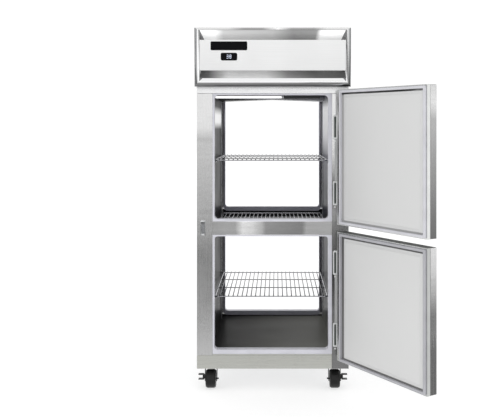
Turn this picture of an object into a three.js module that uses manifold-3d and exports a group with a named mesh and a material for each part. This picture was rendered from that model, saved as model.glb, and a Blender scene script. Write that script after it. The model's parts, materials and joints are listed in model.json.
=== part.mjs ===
// A one-section, pass-through reach-in refrigerator on casters: half doors on the front and the
// back, wire shelves on pilasters, a lamp, and the cooling unit on top between two hoods.
// Millimetres. X runs to the right, Y from the front face to the back, Z up from the floor.
// Every piece is drawn with the front face at y = 0; the last lines centre the whole on its base.

import * as THREE from 'three';
import { mergeVertices } from 'three/addons/utils/BufferGeometryUtils.js';
import Module from 'manifold-3d';

const wasm = await Module();
wasm.setup();

// ---------------------------------------------------------------- driving dimensions

// Cabinet body
const bodyWidth = 896;
const bodyDepth = 920;
const bodyTop = 1845;
const sheet = 2;
const frameDepth = 40;
const jambLeft = 103;
const jambRight = 120;
const headHeight = 1749;
const mullionHeight = 102;
const openingCorner = 20;
const frontSill = 247;
const frontMullionTop = 1017;
const rearSill = 272;
const rearMullionTop = 1000;

// Lining of the cold space
const linerFloor = 240;
const linerCeiling = 1765;
const linerLeft = 15;
const linerRight = 14;
const basePanThickness = 18;
const basePanDrop = 2;

// Doors, measured from the opening that each one covers
const doorThickness = 65;
const doorStandOff = 15;
const doorLapFree = 20;
const doorLapHinge = 53;
const upperDoorLap = [24, 29];
const lowerDoorLap = [47, 33];
const frontDoorAngle = 123;
const rearDoorAngle = 98;
const gasketWidth = 14;
const gasketInsetFree = 4;
const gasketInsetHinge = 32;
const gasketInsetEnds = 6;
const panelInsetFree = 28;
const panelInsetHinge = 59;
const panelInsetEnds = 30;
const panelRecess = 6;
const panelRise = 10;
const panelStep = 14;

// Hinges
const pinRadius = 4;
const knuckleRadius = 7;
const pinToDoorEdge = 8;
const pinToInnerFace = 20;
const knuckleLength = 40;
const leafLength = 145;
const leafThickness = 3;
const leafReach = 28;
const hingeWebHalf = 4;
const upperHingeInset = [177, 218];
const lowerHingeInset = [135, 188];

// Handle cup and lock
const handleWidth = 170;
const handleHeight = 64;
const handleDepth = 30;
const handleWall = 2.5;
const handleLip = 20;
const handleFlange = 7;
const handleInset = 60;
const handleFromEnd = 200;
const lockRadius = 9;
const lockInset = 45;
const lockFromEnd = 75;
const camLength = 30;
const camThickness = 4;
const camDepth = 20;

// Hoods
const overallHeight = 2136;
const hoodOverhang = 5.5;
const hoodBottom = 1795;
const hoodProjection = 100;
const hoodReturn = 120;
const hoodSheet = 2.5;
const hoodBand = 29.5;
const hoodFrameDepth = 30;
const hoodTopRim = 15;
const hoodLipRise = 30;
const hoodLipFoot = 18;
const hoodPanelHeight = 177;
const hoodPanelBottom = 1887;
const hoodPanelSetBack = 3;
const hoodPanelFlange = 20;
const hoodSlope = { rise: 58, run: 60 };
const hoodLipLean = 22;
const hoodLipCurl = { foot: 8, shoulder: 2, low: 5, high: 11 };
const displayWidth = 95;
const displayHeight = 44;
const displayThickness = 5;
const displayFromEdge = 124;
const displayBottom = 1945;

// Shelves and their pilasters
const shelfHeights = { upper: 1360, middle: 959, lower: 545 };
const shelfLeftGap = 11;
const shelfRightGap = 11;
const shelfEndGap = 70;
const shelfThickness = 5;
const shelfWire = 5;
const shelfWires = 24;
const pilasterWidth = 24;
const pilasterThickness = 5;
const pilasterInset = 120;
const clipWidth = 16;
const clipHeight = 14;
const clipReach = 8;

// Lamp and air duct under the ceiling
const lampRadius = 8.5;
const lampLength = 399;
const lampHeight = 1738;
const lampBehindFrame = 12;
const lampFromOpening = 3;
const lampSides = 16;
const lampCapLength = 12;
const lampCapLip = 1.5;
const racewayLength = 225;
const ductDepth = 226;
const ductEndHeight = 31;
const ductCentreHeight = 18;

// Casters
const wheelRadius = 54;
const wheelWidth = 60;
const wheelSides = 24;
const wheelHeadroom = 26;
const treadCrown = 6;
const treadShoulder = 10;
const casterInsetX = 78;
const casterInsetY = 105;
const casterTrail = 30;
const casterPlate = 100;
const casterPlateThickness = 8;
const kingpinRadius = 8;
const kingpinLength = 14;
const crownRadius = 32;
const crownThickness = 11;
const crownBridge = [22, 16];
const forkThickness = 4;
const forkToWheel = 3;
const forkEnd = [14, 12];
const axleRadius = 5;
const nutOuter = 1.5;
const nutInner = 9;
const brakeReach = 26;
const brakeWidth = 28;
const brakeHeight = 32;
const brakePlateThickness = 8;
const brakeToFork = 4;
const brakeTabThickness = 4;
const brakePivotAboveAxle = 12;
const brakePinLength = 37;
const brakePinRadius = 3;
const brakeLugHalf = 8;
const brakeLugThickness = 5;
const brakeBackPlate = 2;

// Cooling unit on the top
const trayThickness = 12;
const traySideGap = 48;
const trayEndGap = 110;
const airway = { x: [-275, -155], y: [bodyDepth - 400, bodyDepth - 280] };
const spindleWidth = 10;
const evaporatorHousing = { x: [-390, -40], y: [bodyDepth - 490, bodyDepth - 150], top: 2070 };
const housingWall = 20;
const evaporatorInset = { x: 32, front: 50, back: 60, under: 45, above: 35 };
const condenserPlace = { x: [-60, 340], y: [150, 200], z: [1872, 2092] };
const coilFins = 10;
const finSlot = { start: 0.35, width: 0.5, depth: 8, ends: 10 };
const coilEndPlate = { condenser: 8, evaporator: 5 };
const fanSpace = 62;
const fanStrap = { thickness: 10, height: 24 };
const fanMotor = { radius: 32, length: 30, behind: 12 };
const fanBlades = 5;
const bladeTilt = 24;
const bladeThickness = 2.5;
const bladeShare = 0.5;
const evaporatorFan = { radius: 55, hub: 15, depth: 18, lift: 20 };
const condenserFan = { radius: 95, hub: 24, depth: 22, setBack: 30 };
const fanSides = 32;
const compressorPlace = [200, bodyDepth - 340];
const compressorRadius = 95;
const compressorHeight = 190;
const compressorSides = 24;
const compressorRise = 6;
const compressorFoot = { x: 104, y: 66, thickness: 8 };
const terminalBox = { x: [57, 114], halfWidth: 30, z: [57, 123] };

// Keeper on the left jamb between the doors
const keeperWidth = 31;
const keeperHeight = 88;
const keeperThickness = 12;
const keeperFromEdge = 21;
const keeperBottom = 920;
const keeperSlotHeight = 62;

// Clearances
const gap = 0.3;
const runningGap = 0.4;
const freePlay = 1;
const cutPast = 1;

// ---------------------------------------------------------------- worked-out places

const bodyBottom = 2 * wheelRadius + wheelHeadroom;
const bodyLeft = -bodyWidth / 2;
const bodyRight = bodyWidth / 2;
const openLeft = bodyLeft + jambLeft;
const openRight = bodyRight - jambRight;
const liningLeft = openLeft - linerLeft;
const liningRight = openRight + linerRight;
const doorLeft = openLeft - doorLapFree;
const doorRight = openRight + doorLapHinge;
const pinX = doorRight + pinToDoorEdge;
const pinOut = doorStandOff + pinToInnerFace;
const innerEnds = [frameDepth + gap, bodyDepth - frameDepth - gap];
const trayBottom = bodyTop + gap;
const trayTop = trayBottom + trayThickness;
const panBottom = bodyBottom - basePanDrop;

const front = { name: 'front', y: 0, outward: -1, sill: frontSill, mullionTop: frontMullionTop };
const rear = { name: 'rear', y: bodyDepth, outward: 1, sill: rearSill, mullionTop: rearMullionTop };

// ---------------------------------------------------------------- finishes

const looks = {
  steel: { color: 0xb9bbbb, roughness: 0.35, metalness: 0.9 },
  darkSteel: { color: 0x6d7072, roughness: 0.4, metalness: 0.9 },
  chrome: { color: 0xd2d5d8, roughness: 0.18, metalness: 1 },
  lining: { color: 0xc9cccd, roughness: 0.5, metalness: 0.4 },
  inside: { color: 0x55585b, roughness: 0.35, metalness: 0.8 },
  rubber: { color: 0xa9abad, roughness: 0.7, metalness: 0 },
  foam: { color: 0xe6d9a8, roughness: 0.9, metalness: 0 },
  black: { color: 0x15161a, roughness: 0.35, metalness: 0.1 },
  lamp: { color: 0xf3f6ff, roughness: 0.3, metalness: 0 },
};

// ---------------------------------------------------------------- solids

function toSolid(geometry) {
  geometry.deleteAttribute('normal');
  geometry.deleteAttribute('uv');
  const merged = mergeVertices(geometry, 1e-4);
  const vertProperties = new Float32Array(merged.attributes.position.array);
  const triVerts = new Uint32Array(merged.index.array);
  return new wasm.Manifold(new wasm.Mesh({ numProp: 3, vertProperties, triVerts }));
}

function box(xs, ys, zs) {
  const ranges = [xs, ys, zs];
  const geometry = new THREE.BoxGeometry(...ranges.map((range) => Math.abs(range[1] - range[0])));
  geometry.translate(...ranges.map((range) => (range[0] + range[1]) / 2));
  return toSolid(geometry);
}

function outlineOf(points) {
  return new THREE.Shape(points.map((point) => new THREE.Vector2(...point)));
}

function roundedRectangle(left, bottom, right, top, radius) {
  const shape = new THREE.Shape();
  shape.moveTo(left + radius, bottom);
  shape.lineTo(right - radius, bottom);
  shape.absarc(right - radius, bottom + radius, radius, -Math.PI / 2, 0);
  shape.lineTo(right, top - radius);
  shape.absarc(right - radius, top - radius, radius, 0, Math.PI / 2);
  shape.lineTo(left + radius, top);
  shape.absarc(left + radius, top - radius, radius, Math.PI / 2, Math.PI);
  shape.lineTo(left, bottom + radius);
  shape.absarc(left + radius, bottom + radius, radius, Math.PI, Math.PI * 1.5);
  return shape;
}

// The two directions of an outline and the direction it is pushed along, for each axis.
const bases = {
  x: [new THREE.Vector3(0, 1, 0), new THREE.Vector3(0, 0, 1), new THREE.Vector3(1, 0, 0)],
  y: [new THREE.Vector3(1, 0, 0), new THREE.Vector3(0, 0, 1), new THREE.Vector3(0, -1, 0)],
  z: [new THREE.Vector3(1, 0, 0), new THREE.Vector3(0, 1, 0), new THREE.Vector3(0, 0, 1)],
};

function prism(axis, shape, from, to) {
  const low = Math.min(from, to);
  const high = Math.max(from, to);
  const options = { depth: high - low, bevelEnabled: false, curveSegments: 4 };
  const geometry = new THREE.ExtrudeGeometry(shape, options);
  geometry.applyMatrix4(new THREE.Matrix4().makeBasis(...bases[axis]));
  const along = bases[axis][2];
  geometry.translate(...along.clone().multiplyScalar(axis === 'y' ? -high : low).toArray());
  return toSolid(geometry);
}

function stand(geometry, axis, centre) {
  if (axis === 'x') {
    geometry.rotateZ(-Math.PI / 2);
  }
  if (axis === 'z') {
    geometry.rotateX(Math.PI / 2);
  }
  geometry.translate(...centre);
  return toSolid(geometry);
}

function cylinder(axis, centre, radius, length, sides = 14) {
  return stand(new THREE.CylinderGeometry(radius, radius, length, sides), axis, centre);
}

function turned(axis, centre, profile, sides = wheelSides) {
  const points = profile.map((point) => new THREE.Vector2(...point));
  return stand(new THREE.LatheGeometry(points, sides, Math.PI / sides), axis, centre);
}

function joined(solids) {
  return solids.reduce((whole, solid) => whole.add(solid));
}

function without(solid, cuts) {
  return cuts.reduce((whole, cut) => whole.subtract(cut), solid);
}

function put(parent, name, solid, look) {
  const cutMesh = solid.getMesh();
  const geometry = new THREE.BufferGeometry();
  geometry.setAttribute('position', new THREE.BufferAttribute(cutMesh.vertProperties, 3));
  geometry.setIndex(new THREE.BufferAttribute(cutMesh.triVerts, 1));
  geometry.computeVertexNormals();
  const mesh = new THREE.Mesh(geometry, new THREE.MeshStandardMaterial(looks[look]));
  mesh.name = name;
  parent.add(mesh);
}

// The y of a plane that stands `distance` outward from a face of the cabinet.
function out(face, distance) {
  return face.y + face.outward * distance;
}

function outRange(face, near, far) {
  return [out(face, near), out(face, far)];
}

function openingsOf(face) {
  const mullionBottom = face.mullionTop - mullionHeight;
  return { lower: [face.sill, mullionBottom], upper: [face.mullionTop, headHeight] };
}

// ---------------------------------------------------------------- cabinet

function airwayCut() {
  return box(airway.x, airway.y, [linerCeiling - sheet, trayTop + cutPast]);
}

function outerShell() {
  const inside = [innerEnds[0] - cutPast, innerEnds[1] + cutPast];
  const block = box([bodyLeft, bodyRight], innerEnds, [bodyBottom, bodyTop]);
  const room = [bodyBottom - cutPast, bodyTop - sheet];
  return without(block, [box([bodyLeft + sheet, bodyRight - sheet], inside, room), airwayCut()]);
}

function basePan() {
  const sides = [bodyLeft + sheet + gap, bodyRight - sheet - gap];
  const pieces = [box(sides, innerEnds, [panBottom, panBottom + basePanThickness])];
  const sockets = [];
  for (const [x, y] of casterPlaces()) {
    const xs = [x - casterPlate / 2, x + casterPlate / 2];
    const ys = [y - casterPlate / 2, y + casterPlate / 2];
    pieces.push(box(xs, ys, [panBottom - casterPlateThickness, panBottom + gap]));
    const depth = kingpinLength + casterPlateThickness;
    sockets.push(cylinder('z', [x, y, panBottom], kingpinRadius + runningGap + gap, depth));
  }
  const chop = box([bodyLeft, bodyRight], [0, innerEnds[0]], [panBottom, bodyBottom]);
  const chopRear = box([bodyLeft, bodyRight], [innerEnds[1], bodyDepth], [panBottom, bodyBottom]);
  return without(joined(pieces), [chop, chopRear, ...sockets]);
}

function insulation() {
  const side = sheet + gap;
  const bottom = panBottom + basePanThickness + gap;
  const block = box([bodyLeft + side, bodyRight - side], innerEnds, [bottom, bodyTop - side]);
  const room = box(
    [liningLeft - side, liningRight + side],
    [innerEnds[0] - cutPast, innerEnds[1] + cutPast],
    [linerFloor - side, linerCeiling + side],
  );
  return without(block, [room, airwayCut()]);
}

function liner() {
  const block = box(
    [liningLeft - sheet, liningRight + sheet],
    innerEnds,
    [linerFloor - sheet, linerCeiling + sheet],
  );
  const ends = [innerEnds[0] - cutPast, innerEnds[1] + cutPast];
  const room = box([liningLeft, liningRight], ends, [linerFloor, linerCeiling]);
  return without(block, [room, airwayCut()]);
}

function faceFrame(face) {
  const block = box([bodyLeft, bodyRight], outRange(face, 0, -frameDepth), [bodyBottom, bodyTop]);
  const cuts = Object.values(openingsOf(face)).map(([bottom, top]) => {
    const shape = roundedRectangle(openLeft, bottom, openRight, top, openingCorner);
    return prism('y', shape, ...outRange(face, cutPast, -frameDepth - cutPast));
  });
  return without(block, cuts);
}

function keeper() {
  const left = bodyLeft + keeperFromEdge;
  const xs = [left, left + keeperWidth];
  const zs = [keeperBottom, keeperBottom + keeperHeight];
  const slot = box(
    [xs[0] + keeperWidth / 4, xs[1] - keeperWidth / 4],
    outRange(front, keeperThickness / 2, keeperThickness + cutPast),
    [zs[0] - cutPast, zs[0] + keeperSlotHeight],
  );
  return box(xs, outRange(front, gap, keeperThickness), zs).subtract(slot);
}

// ---------------------------------------------------------------- doors

function doorRows() {
  const rows = [];
  for (const face of [front, rear]) {
    const openings = openingsOf(face);
    rows.push({
      name: `${face.name}_upper`,
      face,
      zs: [openings.upper[0] - upperDoorLap[0], openings.upper[1] + upperDoorLap[1]],
      hingeInset: upperHingeInset,
      handleAt: (zs) => zs[0] + handleFromEnd,
      lockAt: (zs) => zs[0] + lockFromEnd,
    });
    rows.push({
      name: `${face.name}_lower`,
      face,
      zs: [openings.lower[0] - lowerDoorLap[0], openings.lower[1] + lowerDoorLap[1]],
      hingeInset: lowerHingeInset,
      handleAt: (zs) => zs[1] - handleFromEnd,
      lockAt: (zs) => zs[1] - lockFromEnd,
    });
  }
  return rows;
}

function hingeHeights(door) {
  return [door.zs[0] + door.hingeInset[0], door.zs[1] - door.hingeInset[1]];
}

function panelRange(door) {
  return {
    xs: [doorLeft + panelInsetFree, doorRight - panelInsetHinge],
    zs: [door.zs[0] + panelInsetEnds, door.zs[1] - panelInsetEnds],
  };
}

function grown(range, amount) {
  return [range[0] - amount, range[1] + amount];
}

function handleRange(door) {
  const left = doorLeft + handleInset;
  const middle = door.handleAt(door.zs);
  return {
    xs: [left, left + handleWidth],
    zs: [middle - handleHeight / 2, middle + handleHeight / 2],
  };
}

const doorOuter = doorStandOff + doorThickness;

function doorSkin(door) {
  const { face, zs } = door;
  const panel = panelRange(door);
  const cup = handleRange(door);
  const lockCentre = [doorLeft + lockInset, 0, door.lockAt(zs)];
  const boreMiddle = out(face, doorOuter - camDepth / 2);
  const camMiddle = out(face, doorOuter - camDepth);
  const pieces = [box([doorLeft, doorRight], outRange(face, doorStandOff, doorOuter), zs)];
  const cuts = [
    box(
      grown(panel.xs, gap),
      outRange(face, doorStandOff - cutPast, doorStandOff + panelRecess + gap),
      grown(panel.zs, gap),
    ),
    box(
      grown(cup.xs, gap),
      outRange(face, doorOuter + cutPast, doorOuter - handleDepth - gap),
      grown(cup.zs, gap),
    ),
    cylinder('y', lockCentre.with(1, boreMiddle), lockRadius + runningGap, camDepth + 2 * cutPast),
    cylinder('y', lockCentre.with(1, camMiddle), camLength + freePlay, camThickness + 2 * freePlay),
  ];
  for (const height of hingeHeights(door)) {
    const reach = [height + gap, height + knuckleLength];
    const middle = (reach[0] + reach[1]) / 2;
    const length = reach[1] - reach[0];
    const arm = outRange(face, pinOut - knuckleRadius / 2, pinOut + knuckleRadius / 2);
    pieces.push(cylinder('z', [pinX, out(face, pinOut), middle], knuckleRadius, length));
    pieces.push(box([doorRight - cutPast, pinX], arm, reach));
    const bore = pinRadius + runningGap;
    cuts.push(cylinder('z', [pinX, out(face, pinOut), middle], bore, length + 2 * cutPast));
  }
  return without(joined(pieces), cuts);
}

function doorPanel(door) {
  const { xs, zs } = panelRange(door);
  const base = outRange(door.face, doorStandOff + panelRecess, doorStandOff - panelRise / 2);
  const rise = outRange(door.face, doorStandOff, doorStandOff - panelRise);
  return box(xs, base, zs).add(box(grown(xs, -panelStep), rise, grown(zs, -panelStep)));
}

function doorGasket(door) {
  const xs = [doorLeft + gasketInsetFree, doorRight - gasketInsetHinge];
  const zs = grown(door.zs, -gasketInsetEnds);
  const ring = box(xs, outRange(door.face, gap, doorStandOff - gap), zs);
  const inside = outRange(door.face, -cutPast, doorStandOff + cutPast);
  return ring.subtract(box(grown(xs, -gasketWidth), inside, grown(zs, -gasketWidth)));
}

function doorHandle(door) {
  const { xs, zs } = handleRange(door);
  const cup = box(xs, outRange(door.face, doorOuter - handleDepth, doorOuter + gap), zs);
  const flange = outRange(door.face, doorOuter + gap, doorOuter + gap + handleWall);
  const plate = box(grown(xs, handleFlange), flange, grown(zs, handleFlange));
  const inner = { xs: grown(xs, -handleWall), zs: grown(zs, -handleWall) };
  const bowl = box(
    inner.xs,
    outRange(door.face, doorOuter - handleDepth + handleWall, doorOuter),
    inner.zs,
  );
  const mouth = box(
    inner.xs,
    outRange(door.face, doorOuter - handleWall, doorOuter + 2 * handleWall),
    [inner.zs[0], inner.zs[1] - handleLip],
  );
  return without(cup.add(plate), [bowl, mouth]);
}

function doorLock(door) {
  const x = doorLeft + lockInset;
  const z = door.lockAt(door.zs);
  const plugEnd = doorOuter + handleWall;
  const plugLength = plugEnd - doorOuter + camDepth;
  const plug = cylinder('y', [x, out(door.face, plugEnd - plugLength / 2), z], lockRadius, plugLength);
  const camYs = grown([out(door.face, doorOuter - camDepth), out(door.face, doorOuter - camDepth)],
    camThickness / 2);
  const cam = box([x - lockRadius / 2, x + lockRadius / 2], camYs, [z, z + camLength - freePlay]);
  const keySlot = box(
    [x - freePlay, x + freePlay],
    outRange(door.face, plugEnd + cutPast, plugEnd - handleWall),
    [z - lockRadius / 2, z + lockRadius / 2],
  );
  return plug.add(cam).subtract(keySlot);
}

function hingeStrip(door) {
  const { face } = door;
  const heights = hingeHeights(door);
  const leafXs = [pinX - leafReach, pinX];
  const strip = outRange(face, gap, leafThickness / 2);
  const pieces = [box([leafXs[0] + hingeWebHalf, leafXs[1] - hingeWebHalf], strip, heights)];
  for (const height of heights) {
    const pinEnds = [height - knuckleLength, height + knuckleLength];
    const knuckle = [height - knuckleLength, height - gap];
    const middle = (knuckle[0] + knuckle[1]) / 2;
    const length = knuckle[1] - knuckle[0];
    const axis = [pinX, out(face, pinOut), middle];
    pieces.push(box(leafXs, outRange(face, gap, leafThickness), grown([height, height], leafLength / 2)));
    pieces.push(box([pinX - hingeWebHalf, pinX + hingeWebHalf], outRange(face, gap, pinOut), knuckle));
    pieces.push(cylinder('z', axis, knuckleRadius, length));
    pieces.push(cylinder('z', axis.with(2, height), pinRadius, pinEnds[1] - pinEnds[0]));
  }
  return joined(pieces);
}

// A group drawn in cabinet coordinates and turned about an upright line.
function turnedGroup(parent, x, y, degrees) {
  const turning = new THREE.Group();
  turning.position.set(x, y, 0);
  turning.rotation.z = THREE.MathUtils.degToRad(degrees);
  const contents = new THREE.Group();
  contents.position.set(-x, -y, 0);
  turning.add(contents);
  parent.add(turning);
  return contents;
}

function addDoor(parent, door) {
  const angle = door.face === front ? frontDoorAngle : -rearDoorAngle;
  const group = turnedGroup(parent, pinX, out(door.face, pinOut), angle);
  put(group, `${door.name}_door_skin`, doorSkin(door), 'steel');
  put(group, `${door.name}_door_liner`, doorPanel(door), 'lining');
  put(group, `${door.name}_door_gasket`, doorGasket(door), 'rubber');
  put(group, `${door.name}_door_handle`, doorHandle(door), 'darkSteel');
  put(group, `${door.name}_door_lock`, doorLock(door), 'chrome');
  put(parent, `${door.name}_hinge_strip`, hingeStrip(door), 'chrome');
}

// ---------------------------------------------------------------- hoods

const hoodHalf = bodyRight + hoodOverhang;
const panelHalf = hoodHalf - hoodBand;
const panelTop = hoodPanelBottom + hoodPanelHeight;
const panelOut = hoodProjection - hoodPanelSetBack;

// A bent sheet: the flat panel with its top and bottom edges folded back.
function panelOutline(face) {
  const back = panelOut - hoodPanelFlange;
  const points = [
    [out(face, back), hoodPanelBottom],
    [out(face, panelOut), hoodPanelBottom],
    [out(face, panelOut), panelTop],
    [out(face, back), panelTop],
    [out(face, back), panelTop - hoodSheet],
    [out(face, panelOut - hoodSheet), panelTop - hoodSheet],
    [out(face, panelOut - hoodSheet), hoodPanelBottom + hoodSheet],
    [out(face, back), hoodPanelBottom + hoodSheet],
  ];
  return outlineOf(points);
}

// The sheet behind the upper air slot, which slopes back and down from the top rim.
function slopeOutline(face) {
  const top = overallHeight - hoodTopRim;
  const near = hoodProjection - hoodSheet;
  const far = near - hoodSlope.run;
  const points = [
    [out(face, near), top + hoodSheet],
    [out(face, near), top],
    [out(face, far), top - hoodSlope.rise],
    [out(face, far - hoodSheet), top - hoodSlope.rise],
    [out(face, near - hoodSheet), top + hoodSheet],
  ];
  return outlineOf(points);
}

function lipOutline(face) {
  const back = hoodProjection - hoodFrameDepth;
  const points = [
    [out(face, back), hoodBottom],
    [out(face, hoodProjection - hoodLipCurl.foot), hoodBottom],
    [out(face, hoodProjection - hoodLipCurl.shoulder), hoodBottom + hoodLipCurl.low],
    [out(face, hoodProjection), hoodBottom + hoodLipCurl.high],
    [out(face, hoodProjection), hoodBottom + hoodLipFoot],
    [out(face, hoodProjection - hoodLipLean), hoodBottom + hoodLipFoot + hoodLipRise],
    [out(face, back), hoodBottom + hoodLipFoot + hoodLipRise],
  ];
  return outlineOf(points);
}

function hoodFrame(face) {
  const zs = [hoodBottom, overallHeight];
  const frameYs = outRange(face, hoodProjection - hoodFrameDepth, hoodProjection);
  const pieces = [
    box([-hoodHalf, hoodHalf], outRange(face, -hoodReturn, hoodProjection),
      [overallHeight - hoodSheet, overallHeight]),
    box([-hoodHalf, hoodHalf], frameYs, [overallHeight - hoodTopRim, overallHeight]),
    box([-hoodHalf, hoodHalf], outRange(face, gap, hoodProjection - hoodFrameDepth + gap),
      [hoodBottom, hoodBottom + hoodSheet]),
    prism('x', lipOutline(face), -hoodHalf, hoodHalf),
    prism('x', slopeOutline(face), -panelHalf - cutPast, panelHalf + cutPast),
  ];
  for (const side of [-1, 1]) {
    const plate = [side * (hoodHalf - hoodSheet), side * hoodHalf];
    const band = [side * panelHalf, side * hoodHalf];
    pieces.push(box(plate, outRange(face, -hoodReturn, hoodProjection), zs));
    pieces.push(box(band, frameYs, zs));
  }
  return joined(pieces);
}

function addHoods(parent) {
  put(parent, 'front_hood', hoodFrame(front), 'steel');
  const fixedPanel = prism('x', panelOutline(rear), -panelHalf - freePlay, panelHalf + freePlay);
  put(parent, 'rear_hood', hoodFrame(rear).add(fixedPanel), 'steel');
  const halfSpan = panelHalf - freePlay;
  put(parent, 'front_hood_panel', prism('x', panelOutline(front), -halfSpan, halfSpan), 'steel');
  const displayLeft = -panelHalf + displayFromEdge;
  const display = box(
    [displayLeft, displayLeft + displayWidth],
    outRange(front, panelOut + gap, panelOut + displayThickness),
    [displayBottom, displayBottom + displayHeight],
  );
  put(parent, 'display_unit', display, 'black');
}

// ---------------------------------------------------------------- inside fittings

const shelfXs = [liningLeft + shelfLeftGap, liningRight - shelfRightGap];
const shelfYs = [shelfEndGap, bodyDepth - shelfEndGap];

// A flat grid: wires from front to back between a rail at each end.
function shelf(height) {
  const pitchX = (shelfXs[1] - shelfXs[0] - shelfWire) / (shelfWires + 1);
  const pieces = [];
  for (let wire = 0; wire <= shelfWires + 1; wire += 1) {
    const left = shelfXs[0] + wire * pitchX;
    pieces.push(box([left, left + shelfWire], shelfYs, [height, height + shelfThickness]));
  }
  for (const low of [shelfYs[0], shelfYs[1] - shelfWire]) {
    pieces.push(box(shelfXs, [low, low + shelfWire], [height, height + shelfThickness]));
  }
  return joined(pieces);
}

function pilaster(side, end) {
  const wall = side === 'left' ? liningLeft : liningRight;
  const inward = side === 'left' ? 1 : -1;
  const edge = side === 'left' ? shelfXs[0] : shelfXs[1];
  const middle = end === 'front' ? pilasterInset : bodyDepth - pilasterInset;
  const pieces = [box(
    [wall + inward * gap, wall + inward * pilasterThickness],
    grown([middle, middle], pilasterWidth / 2),
    [linerFloor + gap, linerCeiling - ductEndHeight - freePlay],
  )];
  for (const height of Object.values(shelfHeights)) {
    pieces.push(box(
      [wall + inward * pilasterThickness / 2, edge + inward * clipReach],
      grown([middle, middle], clipWidth / 2),
      [height - clipHeight, height - gap],
    ));
  }
  return joined(pieces);
}

function lamp() {
  const y = frameDepth + lampBehindFrame;
  const start = openLeft + lampFromOpening;
  const end = start + lampLength;
  const centre = [(start + end) / 2, y, lampHeight];
  const tube = cylinder('x', centre, lampRadius, lampLength, lampSides);
  const cap = cylinder('x', centre.with(0, end), lampRadius + lampCapLip, lampCapLength, lampSides);
  const raceway = box([end, end + racewayLength], [frameDepth + gap, y + lampRadius],
    [lampHeight - lampRadius, lampHeight + lampRadius]);
  const holder = [lampHeight, lampHeight + lampRadius];
  const bracket = box([start, start + lampCapLength], [frameDepth + gap, y], holder);
  return joined([tube, cap, raceway, bracket]);
}

function ductOutline(inset) {
  const left = liningLeft + freePlay + inset;
  const right = liningRight - freePlay - inset;
  const top = linerCeiling - freePlay;
  return outlineOf([
    [left, top + (inset ? cutPast : 0)],
    [left, linerCeiling - ductEndHeight + inset],
    [(left + right) / 2, linerCeiling - ductCentreHeight + inset],
    [right, linerCeiling - ductEndHeight + inset],
    [right, top + (inset ? cutPast : 0)],
  ]);
}

function airDuct() {
  const end = innerEnds[1] - freePlay;
  const pan = prism('y', ductOutline(0), end - ductDepth, end);
  return pan.subtract(prism('y', ductOutline(sheet), end - ductDepth + sheet, end - sheet));
}

function addInside(parent) {
  for (const side of ['left', 'right']) {
    for (const end of ['front', 'rear']) {
      put(parent, `pilaster_${end}_${side}`, pilaster(side, end), 'chrome');
    }
  }
  for (const [name, height] of Object.entries(shelfHeights)) {
    put(parent, `${name}_shelf`, shelf(height), 'chrome');
  }
  put(parent, 'lamp', lamp(), 'lamp');
  put(parent, 'air_duct', airDuct(), 'inside');
}

// ---------------------------------------------------------------- cooling unit

function unitTray() {
  const tray = box(
    [bodyLeft + traySideGap, bodyRight - traySideGap],
    [trayEndGap, bodyDepth - trayEndGap],
    [trayBottom, trayTop],
  );
  const { x, y, top } = evaporatorHousing;
  const housing = box(x, y, [trayTop - cutPast, top]);
  const room = box(
    grown(x, -housingWall),
    [y[0] + housingWall, y[1] + cutPast],
    [trayTop, top - housingWall],
  );
  const spindleY = (airway.y[0] + airway.y[1]) / 2;
  const bar = grown([spindleY, spindleY], spindleWidth / 2);
  const spindle = box(grown(airway.x, cutPast), bar, [trayBottom, trayTop]);
  return without(tray.add(housing), [room, airwayCut()]).add(spindle);
}

// A block of upright fins between two end plates.
function finnedBlock(xs, ys, zs) {
  const pitch = (xs[1] - xs[0]) / coilFins;
  const slotYs = [ys[0] - cutPast, ys[0] + finSlot.depth];
  const cuts = [];
  for (let fin = 0; fin < coilFins; fin += 1) {
    const left = xs[0] + (fin + finSlot.start) * pitch;
    cuts.push(box([left, left + pitch * finSlot.width], slotYs, grown(zs, -finSlot.ends)));
  }
  return without(box(xs, ys, zs), cuts);
}

function condenser() {
  const { x, y, z } = condenserPlace;
  const plate = coilEndPlate.condenser;
  const strap = [y[1] + fanSpace, y[1] + fanSpace + fanStrap.thickness];
  const middle = (z[0] + z[1]) / 2;
  const pieces = [finnedBlock(x, y, z)];
  for (const edge of [[x[0], x[0] + plate], [x[1] - plate, x[1]]]) {
    pieces.push(box(edge, [y[0], strap[1]], [trayTop + gap, z[1]]));
  }
  pieces.push(box(x, strap, grown([middle, middle], fanStrap.height / 2)));
  const motor = [(x[0] + x[1]) / 2, strap[0] + fanMotor.behind, middle];
  pieces.push(cylinder('y', motor, fanMotor.radius, fanMotor.length));
  return joined(pieces);
}

function evaporator() {
  const { x, y, top } = evaporatorHousing;
  const xs = grown(x, -evaporatorInset.x);
  const ys = [y[0] + evaporatorInset.front, y[1] - evaporatorInset.back];
  const zs = [trayTop + evaporatorInset.under, top - evaporatorInset.above];
  const plate = coilEndPlate.evaporator;
  const pieces = [finnedBlock(xs, ys, zs)];
  for (const edge of [[xs[0], xs[0] + plate], [xs[1] - plate, xs[1]]]) {
    pieces.push(box(edge, ys, [trayTop + gap, zs[1]]));
  }
  return joined(pieces);
}

function fan({ radius, hub, depth }) {
  const pieces = [cylinder('z', [0, 0, 0], hub, depth, lampSides)];
  const bladeLength = radius - hub / 2;
  for (let blade = 0; blade < fanBlades; blade += 1) {
    const geometry = new THREE.BoxGeometry(bladeLength, radius * bladeShare, bladeThickness);
    geometry.rotateX(THREE.MathUtils.degToRad(bladeTilt));
    geometry.translate((hub + bladeLength) / 2, 0, 0);
    geometry.rotateZ((blade / fanBlades) * 2 * Math.PI);
    pieces.push(toSolid(geometry));
  }
  return joined(pieces).intersect(cylinder('z', [0, 0, 0], radius, depth * 3, fanSides));
}

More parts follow.
